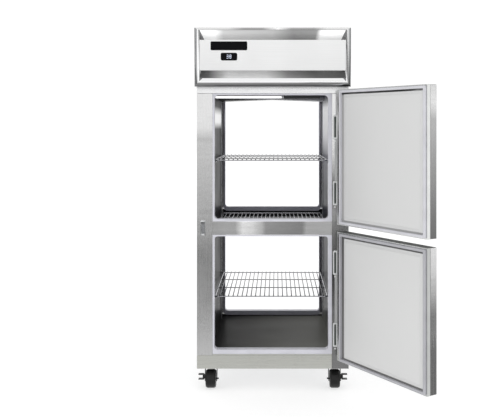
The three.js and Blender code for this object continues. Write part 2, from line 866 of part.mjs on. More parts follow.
function compressor() {
  const [x, y] = compressorPlace;
  const base = trayTop + gap;
  const r = compressorRadius;
  const h = compressorHeight;
  const shares = [[0, 0], [0.8, 0], [1, 0.12], [1, 0.7], [0.8, 0.92], [0.35, 1], [0, 1]];
  const points = shares.map(([wide, high]) => new THREE.Vector2(wide * r, high * h));
  const geometry = new THREE.LatheGeometry(points, compressorSides);
  geometry.rotateX(Math.PI / 2);
  geometry.translate(x, y, base + compressorRise);
  const foot = compressorFoot;
  return joined([
    toSolid(geometry),
    box(grown([x, x], foot.x), grown([y, y], foot.y), [base, base + foot.thickness]),
    box(
      terminalBox.x.map((reach) => x + reach),
      grown([y, y], terminalBox.halfWidth),
      terminalBox.z.map((height) => base + height),
    ),
  ]);
}

function addCoolingUnit(parent) {
  put(parent, 'unit_tray', unitTray(), 'steel');
  put(parent, 'compressor', compressor(), 'black');
  put(parent, 'condenser_coil', condenser(), 'darkSteel');
  put(parent, 'evaporator_coil', evaporator(), 'darkSteel');
  const { x, y, z } = condenserPlace;
  const upright = new THREE.Group();
  upright.position.set((x[0] + x[1]) / 2, y[1] + condenserFan.setBack, (z[0] + z[1]) / 2);
  upright.rotation.x = Math.PI / 2;
  parent.add(upright);
  put(upright, 'condenser_fan', fan(condenserFan), 'black');
  const level = new THREE.Group();
  const middleX = (airway.x[0] + airway.x[1]) / 2;
  const middleY = (airway.y[0] + airway.y[1]) / 2;
  level.position.set(middleX, middleY, trayTop + evaporatorFan.lift);
  parent.add(level);
  put(level, 'evaporator_fan', fan(evaporatorFan), 'black');
}

// ---------------------------------------------------------------- casters

function casterPlaces() {
  const x = bodyWidth / 2 - casterInsetX;
  const ys = [casterInsetY, bodyDepth - casterInsetY + casterTrail];
  return ys.flatMap((y) => [[-x, y], [x, y]]);
}

const crownTop = bodyBottom - basePanDrop - casterPlateThickness - gap;
const legInner = wheelWidth / 2 + forkToWheel;
const legOuter = legInner + forkThickness;
const brakePlate = [legOuter + brakeToFork, legOuter + brakeToFork + brakePlateThickness];
const brakePivot = [(brakePlate[0] + brakePlate[1]) / 2, wheelRadius + brakePivotAboveAxle];
const fineSides = 12;

// Two ears with a bore for the brake lever's pin, on a plate against the outer leg.
function brakeLugs(outer) {
  const zs = grown([brakePivot[1], brakePivot[1]], brakeLugHalf);
  const ends = grown([-casterTrail, -casterTrail], brakeWidth / 2 + brakeLugThickness);
  const pieces = [box([outer * (legOuter - cutPast), outer * (legOuter + brakeBackPlate)], ends, zs)];
  for (const end of [-1, 1]) {
    const near = -casterTrail + end * (brakeWidth / 2 + runningGap);
    const far = -casterTrail + end * (brakeWidth / 2 + brakeLugThickness);
    pieces.push(box([outer * (legOuter + freePlay), outer * brakePlate[1]], [near, far], zs));
  }
  const axis = [outer * brakePivot[0], -casterTrail, brakePivot[1]];
  const bore = cylinder('y', axis, brakePinRadius + runningGap, brakeWidth * 2, fineSides);
  return [joined(pieces).subtract(bore)];
}

// Drawn about the kingpin, with the axle trailing towards the front.
function casterFork(outer, braked) {
  const crown = cylinder('z', [0, 0, crownTop - crownThickness / 2], crownRadius, crownThickness);
  const stem = cylinder('z', [0, 0, crownTop + kingpinLength / 2 - cutPast], kingpinRadius,
    kingpinLength);
  const pieces = [crown, stem];
  const bridge = [crownTop - crownThickness, crownTop - crownThickness / 3];
  pieces.push(box([-legOuter, legOuter], [-crownBridge[0], crownBridge[1]], bridge));
  const side = outlineOf([
    [-casterTrail - forkEnd[0], wheelRadius - forkEnd[1]],
    [-casterTrail + forkEnd[0], wheelRadius - forkEnd[1]],
    [crownBridge[1], bridge[1]],
    [-crownBridge[0], bridge[1]],
  ]);
  pieces.push(prism('x', side, legInner, legOuter));
  pieces.push(prism('x', side, -legOuter, -legInner));
  const axleMiddle = [(outer * (nutOuter - nutInner)) / 2, -casterTrail, wheelRadius];
  const axleLength = 2 * legOuter + nutOuter + nutInner;
  pieces.push(cylinder('x', axleMiddle, axleRadius, axleLength, fineSides));
  if (braked) {
    pieces.push(...brakeLugs(outer));
  }
  return joined(pieces);
}

function casterWheel() {
  const half = wheelWidth / 2;
  const flat = wheelRadius / Math.cos(Math.PI / wheelSides);
  const bore = axleRadius + runningGap;
  const profile = [
    [bore, -half], [flat - treadCrown, -half], [flat, -half + treadShoulder],
    [flat, half - treadShoulder], [flat - treadCrown, half], [bore, half], [bore, -half],
  ];
  return turned('x', [0, -casterTrail, wheelRadius], profile);
}

// A rocking plate beside the fork with a tab for the foot above and below its pin.
function brakeLever(outer) {
  const ys = grown([-casterTrail, -casterTrail], brakeWidth / 2);
  const low = brakePivot[1] - brakeHeight / 2;
  const high = brakePivot[1] + brakeHeight / 2;
  const tip = outer * (brakePlate[1] + brakeReach);
  const pieces = [
    box([outer * brakePlate[0], outer * brakePlate[1]], ys, [low, high]),
    box([outer * brakePlate[0], tip], ys, [low, low + brakeTabThickness]),
    box([outer * brakePlate[0], tip], ys, [high - brakeTabThickness, high]),
    cylinder('y', [outer * brakePivot[0], -casterTrail, brakePivot[1]], brakePinRadius,
      brakePinLength, fineSides),
  ];
  return joined(pieces);
}

function addCasters(parent) {
  for (const [x, y] of casterPlaces()) {
    const end = y < bodyDepth / 2 ? 'front' : 'rear';
    const outer = Math.sign(x);
    const name = `${end}_${outer < 0 ? 'left' : 'right'}`;
    const group = new THREE.Group();
    group.position.set(x, y, 0);
    parent.add(group);
    put(group, `${name}_caster_fork`, casterFork(outer, end === 'front'), 'black');
    put(group, `${name}_caster_wheel`, casterWheel(), 'black');
    if (end === 'front') {
      put(group, `${name}_brake_lever`, brakeLever(outer), 'black');
    }
  }
}

// ---------------------------------------------------------------- the whole

const group = new THREE.Group();
const cabinet = new THREE.Group();
group.add(cabinet);

put(cabinet, 'outer_shell', outerShell(), 'steel');
put(cabinet, 'base_pan', basePan(), 'darkSteel');
put(cabinet, 'insulation', insulation(), 'foam');
put(cabinet, 'liner', liner(), 'inside');
put(cabinet, 'front_face_frame', faceFrame(front), 'steel');
put(cabinet, 'rear_face_frame', faceFrame(rear), 'steel');
put(cabinet, 'lock_keeper', keeper(), 'chrome');
for (const door of doorRows()) {
  addDoor(cabinet, door);
}
addHoods(cabinet);
addInside(cabinet);
addCoolingUnit(cabinet);
addCasters(cabinet);

// The origin is under the middle of the whole, on the floor.
group.updateMatrixWorld(true);
const extent = new THREE.Box3().setFromObject(cabinet, true);
const middle = extent.getCenter(new THREE.Vector3());
cabinet.position.set(-middle.x, -middle.y, 0);

export default group;
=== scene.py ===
"""A pass-through reach-in refrigerator with its doors open, on a pale studio floor.

Metres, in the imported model's frame: X to the right, Y from the front face to the back, Z up.
Pieces are drawn in a face's own coordinates where that helps: x, z, and distance out from it.
Door pieces are drawn with the door shut and then turned about its pin to where it stands open.
"""

import json
import math

import bmesh
import bpy
from mathutils import Matrix, Vector


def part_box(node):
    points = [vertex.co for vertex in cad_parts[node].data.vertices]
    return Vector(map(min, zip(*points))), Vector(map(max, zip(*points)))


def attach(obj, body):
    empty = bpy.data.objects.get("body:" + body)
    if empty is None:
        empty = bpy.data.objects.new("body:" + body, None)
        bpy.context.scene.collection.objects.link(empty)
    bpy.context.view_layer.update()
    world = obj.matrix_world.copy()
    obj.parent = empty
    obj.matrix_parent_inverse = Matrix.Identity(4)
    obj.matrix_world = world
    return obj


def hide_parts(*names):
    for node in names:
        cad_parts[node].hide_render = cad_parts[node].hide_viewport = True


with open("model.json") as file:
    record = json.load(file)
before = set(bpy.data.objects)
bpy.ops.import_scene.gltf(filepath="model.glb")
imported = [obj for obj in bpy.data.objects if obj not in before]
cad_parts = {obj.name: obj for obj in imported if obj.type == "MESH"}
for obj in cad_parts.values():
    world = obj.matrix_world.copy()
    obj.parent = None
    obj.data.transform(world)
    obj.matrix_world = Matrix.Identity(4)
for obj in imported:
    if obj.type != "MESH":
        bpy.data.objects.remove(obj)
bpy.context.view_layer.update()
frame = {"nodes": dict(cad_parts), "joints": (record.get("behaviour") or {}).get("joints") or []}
MM = 0.001
NODES = frame["nodes"]
JOINTS = {joint["name"]: joint for joint in frame["joints"]}
BODY = "cabinet"
FACES = ("front", "rear")
DOORS = ("front_upper", "front_lower", "rear_upper", "rear_lower")
OUTWARD = {"front": -1.0, "rear": 1.0}
FACE_Y = {"front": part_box("front_face_frame")[0].y, "rear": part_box("rear_face_frame")[1].y}

# The camera: distance from the front face, eye height, and offset from the cabinet's middle.
EYE_DISTANCE = 4.7
EYE_HEIGHT = 1.572
EYE_RIGHT = 0.0215
LENS = 57.36
SHIFT = (-0.0528, -0.167)


def add_camera():
    low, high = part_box("front_face_frame")
    data = bpy.data.cameras.new("camera")
    data.lens = LENS
    data.shift_x, data.shift_y = SHIFT
    camera = bpy.data.objects.new("camera", data)
    camera.location = ((low.x + high.x) / 2 + EYE_RIGHT, FACE_Y["front"] - EYE_DISTANCE, EYE_HEIGHT)
    camera.rotation_euler = (math.radians(90), 0, 0)
    bpy.context.scene.collection.objects.link(camera)
    bpy.context.scene.camera = camera


# ------------------------ materials


def fill_ramp(ramp, stops):
    """Sets a colour ramp from (share, grey or colour) pairs; the first two have to rise."""
    for index, (share, tone) in enumerate(stops):
        elements = ramp.color_ramp.elements
        stop = elements[index] if index < 2 else elements.new(share)
        stop.position = share
        stop.color = (*tone, 1) if isinstance(tone, tuple) else (tone, tone, tone, 1)


class Finish:
    """A material with a principled shader and helpers for noise-driven detail."""

    def __init__(self, name, color, metallic=0.0, roughness=0.5, specular=0.5):
        self.material = bpy.data.materials.new(name)
        self.material.use_nodes = True
        self.tree = self.material.node_tree
        self.shader = self.tree.nodes["Principled BSDF"]
        self.shader.inputs["Base Color"].default_value = (*color, 1)
        self.shader.inputs["Metallic"].default_value = metallic
        self.shader.inputs["Roughness"].default_value = roughness
        self.shader.inputs["Specular IOR Level"].default_value = specular
        self.color = color
        self.roughness = roughness
        self.bump_out = None

    def node(self, kind, **settings):
        node = self.tree.nodes.new(kind)
        for key, value in settings.items():
            setattr(node, key, value)
        return node

    def link(self, source, target):
        self.tree.links.new(source, target)

    def noise(self, scale, detail=4.0):
        """Noise over the object's own coordinates; scale is a number or one number per axis."""
        place = self.node("ShaderNodeTexCoord")
        stretch = self.node("ShaderNodeMapping")
        each = scale if isinstance(scale, tuple) else (scale, scale, scale)
        stretch.inputs["Scale"].default_value = each
        texture = self.node("ShaderNodeTexNoise")
        texture.inputs["Scale"].default_value = 1.0
        texture.inputs["Detail"].default_value = detail
        self.link(place.outputs["Object"], stretch.inputs["Vector"])
        self.link(stretch.outputs["Vector"], texture.inputs["Vector"])
        return texture.outputs["Fac"]

    def ranged(self, value, low, high, start=0.3, end=0.7):
        """A value from start to end, spread from low to high. Noise mostly lies from 0.3 to 0.7."""
        mapper = self.node("ShaderNodeMapRange")
        limits = {"From Min": start, "From Max": end, "To Min": low, "To Max": high}
        for socket, limit in limits.items():
            mapper.inputs[socket].default_value = limit
        self.link(value, mapper.inputs["Value"])
        return mapper.outputs["Result"]

    def added(self, first, second):
        total = self.node("ShaderNodeMath", operation="ADD")
        self.link(first, total.inputs[0])
        self.link(second, total.inputs[1])
        return total.outputs["Value"]

    def share_along(self, axis, low, high):
        """How far a point lies from low to high along an axis of the object."""
        place = self.node("ShaderNodeTexCoord")
        split = self.node("ShaderNodeSeparateXYZ")
        self.link(place.outputs["Object"], split.inputs[0])
        return self.ranged(split.outputs[axis], 0.0, 1.0, low, high)

    def graded(self, share, tones):
        """A colour picked by a share, from (share, grey or colour) pairs."""
        ramp = self.node("ShaderNodeValToRGB")
        fill_ramp(ramp, tones)
        self.link(share, ramp.inputs["Fac"])
        return ramp.outputs["Color"]

    def mixed(self, kind, share, first, second):
        """Two colours blended by a share, or fully where the share is None."""
        mix = self.node("ShaderNodeMix", data_type="RGBA", blend_type=kind)
        mix.inputs["Factor"].default_value = 1.0
        if share:
            self.link(share, mix.inputs["Factor"])
        self.link(first, mix.inputs[6])
        self.link(second, mix.inputs[7])
        return mix.outputs[2]

    # Painted light: the surface gives off its own colour as light, though it is no lamp.
    def painted_glow(self, color, strength):
        self.link(color, self.shader.inputs["Emission Color"])
        self.shader.inputs["Emission Strength"].default_value = strength

    def vary_roughness(self, spread, scale, second, second_spread):
        value = self.ranged(self.noise(scale), self.roughness - spread, self.roughness + spread)
        extra = self.ranged(self.noise(second), -second_spread, second_spread)
        self.link(self.added(value, extra), self.shader.inputs["Roughness"])

    def vary_color(self, spread, scale):
        mix = self.node("ShaderNodeMix", data_type="RGBA")
        dark = tuple(channel * (1 - spread) for channel in self.color)
        light = tuple(min(1.0, channel * (1 + spread)) for channel in self.color)
        mix.inputs[6].default_value = (*dark, 1)
        mix.inputs[7].default_value = (*light, 1)
        self.link(self.ranged(self.noise(scale), 0.0, 1.0), mix.inputs["Factor"])
        self.link(mix.outputs[2], self.shader.inputs["Base Color"])

    def bump(self, strength, scale, distance, detail=4.0):
        bump = self.node("ShaderNodeBump")
        bump.inputs["Strength"].default_value = strength
        bump.inputs["Distance"].default_value = distance
        self.link(self.noise(scale, detail), bump.inputs["Height"])
        if self.bump_out is not None:
            self.link(self.bump_out, bump.inputs["Normal"])
        self.bump_out = bump.outputs["Normal"]
        self.link(self.bump_out, self.shader.inputs["Normal"])


# Noise scales for a brushed grain that runs across (x) or upright (z).
GRAIN = {"x": (3.0, 900.0, 900.0), "z": (900.0, 900.0, 3.0)}


def brushed(name, color, roughness, along):
    """Sheet steel with a fine grain along one axis, faint smudges and slow waves."""
    finish = Finish(name, color, 1.0, roughness)
    finish.vary_roughness(0.05, GRAIN[along], 6.0, 0.03)
    finish.vary_color(0.05, GRAIN[along])
    finish.bump(0.12, GRAIN[along], 0.0002)
    finish.bump(0.05, 2.2, 0.004, 1.0)
    return finish.material


def moulded(name, color, roughness, grain=700.0, strength=0.08, specular=0.5):
    """Plastic or rubber with a fine texture and uneven gloss."""
    finish = Finish(name, color, 0.0, roughness, specular)
    finish.vary_roughness(0.06, 25.0, grain, 0.03)
    finish.vary_color(0.06, 14.0)
    finish.bump(strength, grain, 0.0003)
    return finish.material


def plated(name, color, roughness):
    """Bright plating with fine scratches."""
    finish = Finish(name, color, 1.0, roughness)
    finish.vary_roughness(0.04, 60.0, (900.0, 40.0, 900.0), 0.03)
    finish.vary_color(0.05, 30.0)
    finish.bump(0.05, 300.0, 0.0002)
    return finish.material


def glowing(name, color, strength):
    """A lit lamp cover or display figure."""
    finish = Finish(name, color, 0.0, 0.4)
    finish.shader.inputs["Emission Color"].default_value = (*color, 1)
    finish.shader.inputs["Emission Strength"].default_value = strength
    finish.bump(0.05, 500.0, 0.0002)
    return finish.material


def painted_reflection(name, axis, span, tones, roughness, grain="x", metallic=1.0, painted_glow=0.0):
    """Polished sheet with a painted reflection: its brightness graded along an axis, over the brushed
    grain, and painted light where a strength is given.
    """
    finish = Finish(name, (0.8, 0.8, 0.8), metallic, roughness, specular=0.3)
    wander = finish.ranged(finish.noise(5.0), -0.012, 0.012)
    color = finish.graded(finish.added(finish.share_along(axis, *span), wander), tones)
    finish.link(color, finish.shader.inputs["Base Color"])
    if painted_glow:
        finish.painted_glow(color, painted_glow)
    finish.vary_roughness(0.04, GRAIN[grain], 6.0, 0.03)
    finish.bump(0.1, GRAIN[grain], 0.0002)
    finish.bump(0.2, (9.0, 3.0, 30.0), 0.002, 2.0)
    return finish.material


def lining_painted_light():
    """Satin lining with painted shade and light graded by height on each wall, painted shade over its
    floors, and the lamp's patch of light painted on as emission.
    """
    finish = Finish("lining_painted_light", (0.1, 0.1, 0.1), 0.0, 0.35, specular=0.02)
    low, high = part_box("liner")
    wall = 20 * MM
    across = finish.share_along("X", low.x + wall, high.x - wall)
    upward = finish.share_along("Z", low.z, high.z)
    inward = finish.share_along("Y", low.y, high.y)
    # Painted shade and light up each wall, blended from the left wall to the right.
    walls = finish.mixed("MIX", across, *[finish.graded(upward, tones) for tones in LINING_PAINTED_SHADE])
    shelf_z = (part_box("middle_shelf")[1].z - low.z) / (high.z - low.z)
    # Painted shade on the floors: dark toward the front, pale toward the back.
    depth_shade = finish.graded(inward, [(0, 0.03), (1, 1.0), (0.5, 0.02), (0.62, 0.9)])
    # The floors' painted shade applies only in a band at the middle shelf's height.
    shelf_shade_band = finish.graded(upward, [
        (shelf_z - 0.04, 0), (1, 0), (shelf_z - 0.035, 1.0), (shelf_z + 0.012, 1.0),
        (shelf_z + 0.03, 0)])
    shaded = finish.mixed("MULTIPLY", None, walls, depth_shade)
    finish.link(finish.mixed("MIX", shelf_shade_band, walls, shaded), finish.shader.inputs["Base Color"])
    # Painted light: the lamp's patch shines from each wall as emission.
    painted_lamp_light = [finish.graded(upward, tones) for tones in LAMP_PAINTED_LIGHT]
    finish.painted_glow(finish.mixed("MIX", across, *painted_lamp_light), 0.75)
    finish.vary_roughness(0.05, GRAIN["z"], 5.0, 0.04)
    finish.bump(0.1, GRAIN["z"], 0.0002)
    return finish.material


def door_lining():
    """Smooth pressed panel, a little paler toward its middle."""
    finish = Finish("door_lining", (0.70, 0.703, 0.70), 0.0, 0.45, specular=0.3)
    finish.vary_roughness(0.03, 8.0, 900.0, 0.02)
    finish.vary_color(0.015, 1.6)
    finish.bump(0.04, 900.0, 0.0003)
    return finish.material


def across_hood(*tones):
    """The axis, span and tones of a painted reflection graded from one side of the hood to the other.
    """
    low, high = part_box("front_hood")
    edge = 30 * MM
    return "X", (low.x + edge, high.x - edge), list(tones)


# Painted shade and light up the liner's left and right walls, and the lamp's painted patch of light on
# each.
LINING_PAINTED_SHADE = (
    [(0, 0.02), (1, 0.06), (0.5, 0.02), (0.8, 0.05)],
    [(0, (0.24, 0.24, 0.22)), (1, (0.08, 0.08, 0.11)), (0.12, (0.03, 0.03, 0.04)),
     (0.6, (0.05, 0.05, 0.07)), (0.72, (0.16, 0.16, 0.22)), (0.82, (0.7, 0.69, 0.74)),
     (0.95, (0.9, 0.9, 0.92))],
)
LAMP_PAINTED_LIGHT = (
    [(0.855, 0), (1, 0), (0.885, 1.0), (0.915, 1.0), (0.95, 0)],
    [(0.74, 0), (1, 0.0), (0.84, 0.3), (0.94, 0.4), (0.97, 0.02)],
)
JAMB_SPAN = (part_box("front_face_frame")[0].z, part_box("front_face_frame")[1].z)

STEEL = brushed("steel_upright", (0.76, 0.765, 0.765), 0.26, "z")
STEEL_ACROSS = brushed("steel_across", (0.97, 0.975, 0.99), 0.28, "x")
BASE_STEEL = brushed("base_steel", (0.72, 0.725, 0.68), 0.3, "x")
# Painted reflections graded up the left and right jambs.
LEFT_JAMB = painted_reflection("left_jamb_painted_reflection", "Z", JAMB_SPAN, [
    (0, 0.80), (1, 0.82), (0.4, 0.62), (0.47, 0.75), (0.78, 0.7), (0.8, 0.62), (0.84, 0.9)], 0.28, "z")
RIGHT_JAMB = painted_reflection("right_jamb_painted_reflection", "Z", JAMB_SPAN, [
    (0, 0.3), (1, 0.9), (0.2, 0.33), (0.3, 0.15), (0.46, 0.42), (0.53, 0.7), (0.63, 0.25),
    (0.7, 0.7), (0.76, 1.0)], 0.24, "z")
# Painted shade: the doors' top edges are near-black plastic instead of steel.
DOOR_TOP_SHADE = moulded("door_top_shade", (0.10, 0.105, 0.10), 0.5, specular=0.05)
PANEL_STEEL = brushed("hood_panel_steel", (0.95, 0.955, 0.955), 0.38, "x")
POLISHED = brushed("hood_polished", (0.94, 0.945, 0.95), 0.12, "x")
# Darker copies of the hood's steel: painted reflection on the side rolls, painted shade under the roll
# and on the air slots' end plates.
HOOD_SIDE_SHADE = brushed("hood_side_roll_shaded", (0.42, 0.425, 0.43), 0.2, "z")
UNDERSIDE_SHADE = brushed("hood_underside_shade", (0.22, 0.22, 0.225), 0.25, "x")
# Painted reflections graded across the hood's top rim and its two slopes; the slopes also give off
# painted light.
TOP_RIM = painted_reflection("hood_top_rim_painted_reflection", *across_hood(
    (0, 0.8), (1, 0.8), (0.2, 0.75), (0.3, 0.4), (0.42, 0.42), (0.53, 1.0), (0.63, 0.45),
    (0.78, 0.45), (0.86, 0.8)), 0.15)
UPPER_SLOPE = painted_reflection("upper_slope_painted_reflection", *across_hood(
    (0, 1.0), (1, 1.0), (0.09, 1.0), (0.16, 0.55), (0.5, 0.45), (0.64, 0.27), (0.8, 0.3), (0.83, 1.0)),
    0.25, metallic=0.3, painted_glow=0.4)
LOWER_SLOPE = painted_reflection("lower_slope_painted_reflection", *across_hood(
    (0, 0.1), (1, 0.12), (0.07, 0.14), (0.2, 0.75), (0.46, 0.75), (0.6, 0.32), (0.8, 0.15)),
    0.25, metallic=0.3, painted_glow=0.15)
# Painted reflection graded across the mullion, which also gives off painted light.
MULLION_STEEL = painted_reflection("mullion_painted_reflection", *across_hood(
    (0, 0.48), (1, 0.55), (0.24, 0.5), (0.29, 1.0), (0.35, 0.9), (0.42, 0.62), (0.45, 0.4),
    (0.7, 0.32), (0.73, 0.55)), 0.2, painted_glow=0.32)
GALVANISED = brushed("galvanised", (0.48, 0.49, 0.50), 0.42, "x")
# The liner's lining, with painted shade and light.
LINING = lining_painted_light()
DOOR_LINING = door_lining()
# Lit and shaded copies of one rubber and one trim: the lower door's are darker as painted shade.
GASKETS_LIT_AND_SHADED = {
    "upper": moulded("upper_gasket_rubber_lit", (0.66, 0.66, 0.70), 0.55, specular=0.3),
    "lower": moulded("lower_gasket_rubber_shaded", (0.47, 0.47, 0.50), 0.55, specular=0.3),
}
TRIMS_LIT_AND_SHADED = {
    "upper": moulded("upper_edge_trim", (0.76, 0.77, 0.76), 0.4),
    "lower": moulded("lower_edge_trim", (0.52, 0.53, 0.52), 0.4),
}
# Painted shade: a darker copy of the strip's plastic for its inside flange.
REAR_STRIP_SHADED = moulded("rear_strip_inside_shaded", (0.4, 0.4, 0.46), 0.4, specular=0.1)
# Painted shade: near black for the sheets' inward faces.
SHEET_BACK_SHADE = moulded("sheet_inside_shade", (0.012, 0.012, 0.014), 0.5, specular=0.05)
BREAKER = moulded("breaker_strip", (0.66, 0.66, 0.72), 0.35)
HINGE_RIM = moulded("hinge_rim_steel", (0.78, 0.79, 0.79), 0.3)
HINGE_STRIP = moulded("hinge_strip_steel", (0.52, 0.53, 0.53), 0.3)
CHROME = plated("chrome", (0.78, 0.79, 0.80), 0.14)
# Lit and shaded copies of one plated wire: dark as painted shade, pale as painted light.
SHADED_WIRE = plated("shelf_wire", (0.10, 0.10, 0.115), 0.25)
LIT_WIRE = plated("lit_shelf_wire", (0.62, 0.62, 0.64), 0.25)
RAIL = plated("shelf_rail", (0.55, 0.55, 0.58), 0.22)
SATIN = plated("satin_metal", (0.45, 0.46, 0.48), 0.3)
BLACK = moulded("black_plastic", (0.004, 0.004, 0.005), 0.25, specular=0.05)
BLACK_PAINT = moulded("black_paint", (0.012, 0.012, 0.012), 0.3, 400.0, 0.15, specular=0.35)
TREAD = moulded("black_tread", (0.010, 0.010, 0.010), 0.36, 500.0, 0.2, specular=0.3)
LAMP = glowing("lamp_glow", (1.0, 1.0, 1.0), 0.9)
DIGIT = glowing("digit_glow", (0.75, 0.82, 1.0), 1.3)
FOAM = moulded("foam", (0.75, 0.66, 0.42), 0.8, 300.0, 0.5)
FINS = brushed("coil_fins", (0.62, 0.63, 0.64), 0.4, "z")
# Near black: the raceway's own dark finish, and painted shade for the door groove and the strip above
# the lamp.
DARK_TRIM_AND_SHADE = moulded("dark_trim_and_shade", (0.022, 0.022, 0.024), 0.4, specular=0.2)
# Painted shade: a dark plate for the hinge slots.
SLOT_SHADE = moulded("hinge_slot_shade", (0.075, 0.085, 0.08), 0.5, specular=0.3)


# ------------------------ mesh helpers


def link_mesh(bm, name, material, body=BODY, bevel=0.0, segments=2, smooth=40, turn=None):
    """Turns a bmesh into a piece that rides on a body, with rounded edges."""
    bmesh.ops.remove_doubles(bm, verts=bm.verts, dist=1e-6)
    bmesh.ops.recalc_face_normals(bm, faces=bm.faces)
    mesh = bpy.data.meshes.new(name)
    bm.to_mesh(mesh)
    bm.free()
    if turn is not None:
        mesh.transform(turn)
    piece = bpy.data.objects.new(name, mesh)
    bpy.context.scene.collection.objects.link(piece)
    mesh.shade_smooth()
    mesh.set_sharp_from_angle(angle=math.radians(smooth))
    mesh.materials.append(material)
    if bevel:
        add_bevel(piece, bevel, segments)
    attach(piece, body)
    return piece


def add_bevel(piece, width, segments=2):
    modifier = piece.modifiers.new("rounded", "BEVEL")
    modifier.width = width
    modifier.segments = segments
    modifier.limit_method = "ANGLE"
    modifier.angle_limit = math.radians(30)
    modifier.harden_normals = True


def add_box(bm, low, high):
    corners = [Vector(low), Vector(high)]
    size = Vector(abs(b - a) for a, b in zip(*corners))
    matrix = Matrix.Translation((corners[0] + corners[1]) / 2) @ Matrix.Diagonal((*size, 1))
    bmesh.ops.create_cube(bm, size=1.0, matrix=matrix)


def bridge(bm, first, second):
    """Faces between two rings with as many vertices each."""
    for i in range(len(first)):
        j = (i + 1) % len(first)
        bm.faces.new((first[i], first[j], second[j], second[i]))


def add_rings(bm, rings, hollow=False):
    """Sides between rings of points, with a cap at each end or, if hollow, the last ring joined on."""
    loops = [[bm.verts.new(point) for point in ring] for ring in rings]
    if hollow:
        loops.append(loops[0])
    else:
        bm.faces.new(loops[0])
        bm.faces.new(loops[-1])
    for first, second in zip(loops, loops[1:]):
        bridge(bm, first, second)


def add_prism(bm, axis, outline, start, end):
    """An outline pushed along x or y. The outline's pairs are the other two axes in order."""
    order = {"x": (2, 0, 1), "y": (0, 2, 1)}[axis]
    rings = []
    for along in (start, end):
        points = [(a, b, along) for a, b in outline]
        rings.append([Vector(point[index] for index in order) for point in points])
    add_rings(bm, rings)


AXIS_TURN = {"x": Matrix.Rotation(math.pi / 2, 4, "Y"), "y": Matrix.Rotation(-math.pi / 2, 4, "X")}


def add_turned(bm, centre, profile, axis, sides):
    """A profile of (radius, height) pairs that starts and ends at radius 0, turned about an axis."""
    place = Matrix.Translation(centre) @ AXIS_TURN[axis]
    angles = [2 * math.pi * step / sides for step in range(sides)]
    first, last = [bm.verts.new(place @ Vector((0, 0, profile[end][1]))) for end in (0, -1)]
    rings = []
    for radius, height in profile[1:-1]:
        points = [Vector((radius * math.cos(a), radius * math.sin(a), height)) for a in angles]
        rings.append([bm.verts.new(place @ point) for point in points])
    for lower, upper in zip(rings, rings[1:]):
        bridge(bm, lower, upper)
    for pole, ring in ((first, rings[0]), (last, rings[-1])):
        for step in range(sides):
            bm.faces.new((pole, ring[step - 1], ring[step]))


def rounded_outline(left, bottom, right, top, radius, steps=8, inset=0.0):
    """A rectangle with round corners, set in from its four edges."""
    left, right = left + inset, right - inset
    bottom, top = bottom + inset, top - inset
    corners = (
        (right - radius, bottom + radius, -90),
        (right - radius, top - radius, 0),
        (left + radius, top - radius, 90),
        (left + radius, bottom + radius, 180),
    )
    points = []
    for x, y, start in corners:
        for step in range(steps + 1):
            angle = math.radians(start + 90 * step / steps)
            points.append((x + radius * math.cos(angle), y + radius * math.sin(angle)))
    return points


def out(face, distance):
    """The y that lies a distance out from a face of the cabinet."""
    return FACE_Y[face] + OUTWARD[face] * distance


def on_face(face):
    """Places (x, z, outward distance) on a face of the cabinet."""
    return lambda x, z, distance: Vector((x, out(face, distance), z))


def outline_rings(face, profile):
    """Rings of points from (outline, outward distance) pairs on a face of the cabinet."""
    place = on_face(face)
    return [[place(x, z, distance) for x, z in outline] for outline, distance in profile]


def add_frame_ring(bm, face, outer, inner):
    """A rounded frame: its outside and its inside as (outline, outward distance) pairs."""
    add_rings(bm, outline_rings(face, outer + inner[::-1]), hollow=True)


def add_flat_frame(bm, face, outer, inner, near, far):
    """A frame between two outlines and two outward distances."""
    add_frame_ring(bm, face, [(outer, near), (outer, far)], [(inner, near), (inner, far)])


def face_box(bm, face, xs, outs, zs):
    add_box(bm, (xs[0], out(face, outs[0]), zs[0]), (xs[1], out(face, outs[1]), zs[1]))


def box_piece(name, low, high, material, bevel, segments=2):
    """A plain box with rounded edges, on the cabinet."""
    bm = bmesh.new()
    add_box(bm, low, high)
    link_mesh(bm, name, material, bevel=bevel, segments=segments)


def wire_piece(name, routes, radius, material, body=BODY, sides=3):
    """Round wires along straight or bent routes, in one curve object."""
    data = bpy.data.curves.new(name, "CURVE")
    data.dimensions = "3D"
    data.bevel_depth = radius
    data.bevel_resolution = sides
    data.use_fill_caps = True
    for points, cyclic in routes:
        spline = data.splines.new("POLY")
        spline.points.add(len(points) - 1)
        for target, point in zip(spline.points, points):
            target.co = (*point, 1)
        spline.use_cyclic_u = cyclic
    data.materials.append(material)
    piece = bpy.data.objects.new(name, data)
    bpy.context.scene.collection.objects.link(piece)
    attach(piece, body)
    return piece


def dress(node, material, bevel=0.0, segments=2):
    """Gives a CAD node its material and rounds its edges."""
    piece = NODES[node]
    piece.data.materials.clear()
    piece.data.materials.append(material)
    if bevel:
        weld = piece.modifiers.new("weld", "WELD")
        weld.merge_threshold = 1e-5
        add_bevel(piece, bevel, segments)


# ------------------------ cabinet


def openings(face):
    """Left, bottom, right and top of a face frame's two openings, read from its own corners."""
    low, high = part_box(f"{face}_face_frame")
    edge = 10 * MM
    corners = [v.co for v in NODES[f"{face}_face_frame"].data.vertices]
    inner = [co for co in corners if low.x + edge < co.x < high.x - edge]
    left, right = min(co.x for co in inner), max(co.x for co in inner)
    heights = sorted(co.z for co in inner)
    widest_gaps = sorted(zip(heights, heights[1:]), key=lambda gap: gap[0] - gap[1])[:3]
    below, above = sorted(widest_gaps)[1]
    return {"lower": (left, heights[0], right, below), "upper": (left, above, right, heights[-1])}


